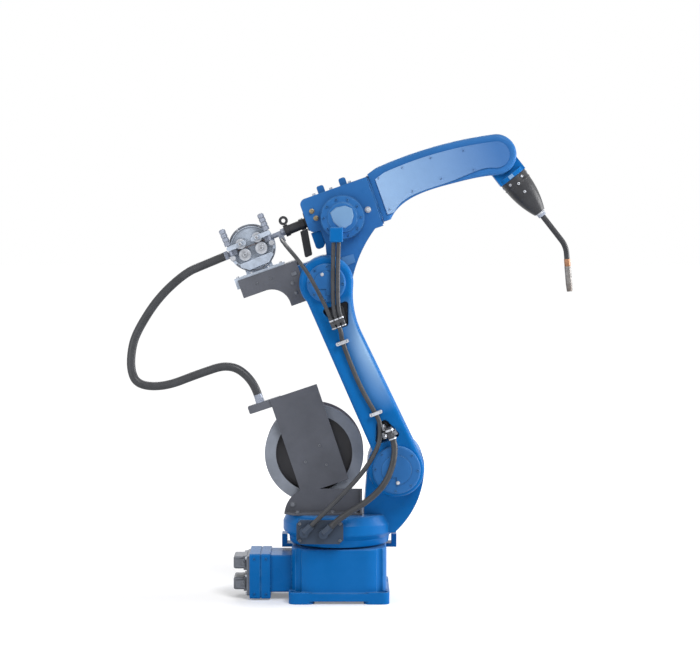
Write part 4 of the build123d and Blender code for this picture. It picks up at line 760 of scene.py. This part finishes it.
for name, side in (("rear_lever", -LEVER_SIDE), ("front_lever", LEVER_SIDE)):
    cap = Group(name + "_cap", name, "plated_steel", plated_steel)
    cap_profile = ((0, 0.006), (0.0015, 0.006), (0.002, 0.005))
    cap.turned_piece(on_feeder(DRIVE + side, 0.078, LEVER_Y), FEEDER_UP, cap_profile, 20)
    cap.done()
# Dark arcs on the ring: a painted shadow of the ring's rim.
ring_shadow = Group("feeder_ring_shadow", "elbow", "cast_aluminium", grey_metal)
for start, end in ((28, 158), (205, 335)):
    sections = []
    for k in range(TRIM_STEPS + 1):
        way = heading(FEEDER_PITCH + start + (end - start) * k / TRIM_STEPS)
        corners = [(RING_CENTRE[0] + r * way.x, y, RING_CENTRE[1] + r * way.z) for r, y in TRIM_SECTION]
        sections.append([ring_shadow.mesh.verts.new(corner) for corner in corners])
    ring_shadow.skin(sections)
ring_shadow.done()

# Forearm: cover screws
COVER_SCREWS = (
    (0.252, 0.052), (0.252, -0.048), (0.330, 0.058), (0.420, 0.057), (0.520, 0.045), (0.335, -0.020),
    (0.430, -0.013), (0.530, -0.021),
)
forearm_screws = Group("forearm_screws", "forearm", "blue_paint", cover_blue)
for y, way in ((-0.057, NEAR), (0.057, FAR)):
    for along, up in COVER_SCREWS:
        forearm_screws.cap_screw(on_forearm(along, up, y), way, 0.0036, 0.0028)
forearm_screws.done()

# Wrist: a pale facet on the near side of its drum, a painted highlight
FACET_SHAPE = ((0.0745, -0.013), (0.0855, -0.013), (0.0855, 0.003), (0.0745, 0.003))
highlight_facet = Group("wrist_highlight_facet", "wrist", "blue_paint", highlight_blue)
highlight_facet.plate([on_tool(along, up, -0.0440) for along, up in FACET_SHAPE], 0.003 * NEAR)
highlight_facet.done()

# Torch: screws round the holder's foot and on its near side, a ring on the collar and a band on the holder
FOOT_SCREWS = 6
FOOT_ALONG = 0.099
FOOT_RADIUS = 0.0425
torch_screws = Group("torch_screws", "torch", "plated_steel", plated_steel)
for k in range(FOOT_SCREWS):
    angle = 2 * math.pi * k / FOOT_SCREWS
    out = on_tool(0, math.cos(angle), math.sin(angle)) - on_tool(0, 0, 0)
    torch_screws.cap_screw(on_tool(FOOT_ALONG, 0, 0) + FOOT_RADIUS * out, out, 0.0042, 0.003)
for along, radius in ((0.1105, 0.0445), (0.141, 0.0405)):
    torch_screws.cap_screw(on_tool(along, 0, -radius), NEAR, 0.0042, 0.004)
collar_profile = ((0, 0.0148), (0.005, 0.0148), (0.006, 0.0135))
torch_screws.turned_piece(on_tool(0.221, 0, 0), TOOL_WAY, collar_profile, 28)
torch_screws.done()
torch_bands = Group("torch_bands", "torch", "torch_black", torch_black)
band_profile = ((0, 0.0435), (0.001, 0.0445), (0.005, 0.0445), (0.006, 0.0435))
torch_bands.turned_piece(on_tool(0.108, 0, 0), TOOL_WAY, band_profile, 48)
torch_bands.done()


# Hoses: smooth lines with the same route points as the solids
HOSE_SIDES = 18
RIBBED_SIDES = 20
CONDUIT_STEPS = 32


def smooth_line(name, points, resolution):
    """Points along the smooth line that a route's control points give."""
    curve = bpy.data.curves.new(name, "CURVE")
    curve.dimensions = "3D"
    spline = curve.splines.new("NURBS")
    spline.points.add(len(points) - 1)
    for place, point in zip(spline.points, points):
        place.co = (*point, 1)
    spline.order_u = 3
    spline.use_endpoint_u = True
    spline.resolution_u = resolution
    holder = bpy.data.objects.new(name, curve)
    mesh = bpy.data.meshes.new_from_object(holder)
    line = [v.co.copy() for v in mesh.vertices]
    bpy.data.objects.remove(holder)
    bpy.data.curves.remove(curve)
    bpy.data.meshes.remove(mesh)
    return line


def plain_hose(name, body, points, diameter, resolution):
    """A smooth round hose along a route."""
    line = smooth_line(name + "_line", points, resolution)
    group = Group(name, body, "hose_rubber", rubber)
    group.tube(line, [diameter / 2] * len(line), HOSE_SIDES)
    return group


def ribbed_hose(name, body, points, diameter, resolution, depth):
    """A round hose along a route, with every other ring sunk by the depth of its ribs."""
    line = smooth_line(name + "_line", points, resolution)
    group = Group(name, body, "hose_rubber", rubber)
    group.tube(line, [diameter / 2 - (0 if k % 2 else depth) for k in range(len(line))], RIBBED_SIDES)
    return group


def bent_to_arm(group, replaced, smooth=40):
    """Finishes a hose that bends from its own body to the lower arm."""
    piece = group.done(ride=False, smooth=smooth)
    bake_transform(piece)
    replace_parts(piece, replaced)


PLATE_HOSE_Y = -0.201
NOSE = 0.030 * math.cos(math.radians(45))
GLAND_TOP = 0.497
GLAND_FOOT = 0.459
LEAD = 0.030
RUN_Y = -0.178
HOSE_END = on_arm(-0.007, 0.121, -0.183)
BLOCK_LOW = DRUM[1] - 0.050 - 0.022
BLOCK_MIDDLE = DRUM[0] + 0.020 - 0.038


def nose_points(x, z):
    """The first two route points of a hose that leaves a sloping nose of the hose plate."""
    return [Vector((x + NOSE + far, PLATE_HOSE_Y, z + NOSE + far)) for far in (0.0003, 0.030)]


span_route = [
    *nose_points(-0.104, 0.224),
    (0.024, PLATE_HOSE_Y - 0.004, 0.352),
    (0.084, PLATE_HOSE_Y - 0.004, 0.422),
    HOSE_END - LEAD * UP,
    HOSE_END,
]
span = plain_hose("arm_hose_span_tube", "turret", span_route, 0.014, 14)
bent_to_arm(span, "arm_hose_span")
thick_route = [
    *nose_points(-0.046, 0.221),
    (0.090, PLATE_HOSE_Y - 0.008, 0.322),
    (0.148, PLATE_HOSE_Y - 0.008, 0.384),
    on_arm(THICK_GLAND, 0.062, HOSE_Y),
    on_arm(THICK_GLAND, 0.0917, HOSE_Y),
]
thick = ribbed_hose("shoulder_hose_tube", "turret", thick_route, 0.020, 40, 0.0012)
bent_to_arm(thick, "shoulder_hose", smooth=180)
arm_route = [
    on_arm(HOSE_GLANDS[0], GLAND_FOOT, HOSE_Y),
    on_arm(HOSE_GLANDS[0], GLAND_FOOT - 0.015, HOSE_Y),
    on_arm(-0.017, 0.420, RUN_Y),
    on_arm(-0.016, 0.3092, RUN_Y),
    on_arm(-0.010, 0.2416, RUN_Y),
    on_arm(0.002, 0.175, RUN_Y),
    HOSE_END + LEAD * UP,
    HOSE_END,
]
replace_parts(plain_hose("arm_hose_tube", "lower_arm", arm_route, 0.014, 14).done(), "arm_hose")
for name, shift, across in (("a", -0.0075, HOSE_GLANDS[0]), ("b", 0.0075, HOSE_GLANDS[1])):
    route = [
        Vector((BLOCK_MIDDLE + shift, HOSE_Y, BLOCK_LOW)),
        on_arm(across, GLAND_TOP + LEAD, HOSE_Y),
        on_arm(across, GLAND_TOP, HOSE_Y),
    ]
    elbow_hose = plain_hose("elbow_hose_" + name, "elbow", route, 0.013, 24)
    bent_to_arm(elbow_hose, "elbow_hoses")
cable_start = on_feeder(-0.086, -0.020, -0.0223)
cable_route = [
    cable_start,
    cable_start + 0.0547 * NEAR,
    on_elbow(-0.074, 0.138, -0.150),
    on_elbow(-0.056, 0.098, -0.206),
    on_elbow(-0.038, 0.040, -0.214),
    on_arm(CABLE_GLAND, GLAND_TOP + LEAD, HOSE_Y),
    on_arm(CABLE_GLAND, GLAND_TOP, HOSE_Y),
]
cable = plain_hose("feeder_cable_tube", "elbow", cable_route, 0.012, 16)
bent_to_arm(cable, "feeder_cable")

# Wire conduit, in two lengths that meet at the back of its loop and span one joint each
CONDUIT_SIZE = 0.026
REEL_BAR_Y = -0.054
LOOP_BACK = Vector((-0.6315, -0.036, 0.735))
MEETING_HEIGHT = 0.800
LOW_BEND = (Vector((-0.330, 0, 0.720)), Vector((-0.5595, 0, 0.863)))
HIGH_BEND = (Vector((0, 0, 1.015)), Vector((0, 0, 0.812)))
fitting_top = at(REEL, REEL_TILT, -0.105, 0.2253, REEL_BAR_Y)
high_route = [
    on_feeder(-0.2683, 0, 0),
    on_feeder(-0.338, 0, 0),
    (-0.467, -0.010, 0.993),
    (-0.549, -0.020, 0.918),
    (-0.608, -0.028, 0.826),
    (-0.629, -0.034, 0.772),
    LOOP_BACK,
]
low_route = [
    fitting_top,
    fitting_top + 0.046 * heading(REEL_TILT + 90),
    (-0.330, -0.053, 0.720),
    (-0.428, -0.050, 0.687),
    (-0.528, -0.047, 0.648),
    (-0.611, -0.042, 0.652),
    (-0.634, -0.038, 0.698),
    LOOP_BACK,
]
high_line = smooth_line("conduit_high_line", high_route, CONDUIT_STEPS)
low_line = smooth_line("conduit_low_line", low_route, CONDUIT_STEPS)
whole_line = low_line + high_line[-2::-1]
meeting = next(k for k, point in enumerate(whole_line) if point.z > MEETING_HEIGHT)
for name, line, body, bend, length in (
    ("conduit_high", whole_line[:meeting - 1:-1], "elbow", HIGH_BEND, 0.377),
    ("conduit_low", whole_line[:meeting + 1], "turret", LOW_BEND, 0.562),
):
    group = Group(name, body, "hose_rubber", rubber)
    group.tube(line, [CONDUIT_SIZE / 2] * len(line), HOSE_SIDES)
    piece = group.done(ride=False)
    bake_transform(piece)
    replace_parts(piece, "wire_conduit")

# Studio: a white floor that keeps a soft shadow, a white surround and four soft lamps
FLOOR_SIZE = 60
GLOW_START = 0.9
GLOW_END = 4
NEAR_GLOW = 0.22
FAR_GLOW = 0.72
WORLD_LIGHT = 0.36
LAMP_AIM = Vector((0, 0, 0.75))
LAMPS = (
    ("key", (1.5, -3.4, 3.8), 2.2, 130),
    ("side", (4.0, 0.3, 1.3), 2.6, 170),
    ("fill", (-3.6, -3.0, 1.6), 2.6, 65),
    ("back", (-0.6, 3.4, 3.2), 2.4, 60),
)


def seen_rays(tree):
    """One for camera, glossy and transmission rays, else zero."""
    path = tree.add("ShaderNodeLightPath")
    total = path.outputs["Is Camera Ray"]
    for kind in ("Is Glossy Ray", "Is Transmission Ray"):
        total = tree.number("MAXIMUM", total, path.outputs[kind])
    return total


bpy.ops.mesh.primitive_plane_add(size=FLOOR_SIZE)
floor = bpy.context.object
floor.name = "floor"
floor_material = bpy.data.materials.new("floor_white")
floor_tree = Tree(floor_material)
floor_inputs = floor_tree.nodes["Principled BSDF"].inputs
reach = floor_tree.measure("LENGTH", floor_tree.place())
glow = floor_tree.spread(reach, GLOW_START, GLOW_END, NEAR_GLOW, FAR_GLOW)
floor_tree.feed(floor_inputs["Base Color"], (0.86, 0.86, 0.87, 1))
floor_tree.feed(floor_inputs["Roughness"], 0.9)
floor_tree.feed(floor_inputs["Specular IOR Level"], 0.0)
floor_tree.feed(floor_inputs["Emission Color"], (1, 1, 1, 1))
floor_tree.feed(floor_inputs["Emission Strength"], floor_tree.number("MULTIPLY", glow, seen_rays(floor_tree)))
floor.data.materials.append(floor_material)

scene.world = bpy.data.worlds.new("studio")
sky = Tree(scene.world)
background = sky.nodes["Background"].inputs
sky.feed(background["Color"], (1, 1, 1, 1))
sky.feed(background["Strength"], sky.spread(seen_rays(sky), 0, 1, WORLD_LIGHT, 1))

for name, place, size, power in LAMPS:
    lamp = bpy.data.objects.new(name, bpy.data.lights.new(name, "AREA"))
    lamp.data.shape = "DISK"
    lamp.data.size = size
    lamp.data.energy = power
    scene.collection.objects.link(lamp)
    lamp.location = place
    lamp.rotation_euler = (LAMP_AIM - Vector(place)).to_track_quat("-Z", "Y").to_euler()

# Camera at the photograph's side view
CAMERA_DISTANCE = 7.0
CAMERA_HEIGHT = 1.25
AIM = Vector((0.033, 0, 0.833))
HALF_FRAME = 350
PIXEL = 0.00305
camera = bpy.data.objects.new("camera", bpy.data.cameras.new("camera"))
scene.collection.objects.link(camera)
scene.camera = camera
camera.location = (AIM.x, -CAMERA_DISTANCE, CAMERA_HEIGHT)
away = AIM - camera.location
camera.rotation_euler = away.to_track_quat("-Z", "Y").to_euler()
camera.data.angle = 2 * math.atan(HALF_FRAME * PIXEL / away.length)
scene.view_settings.view_transform = "Standard"
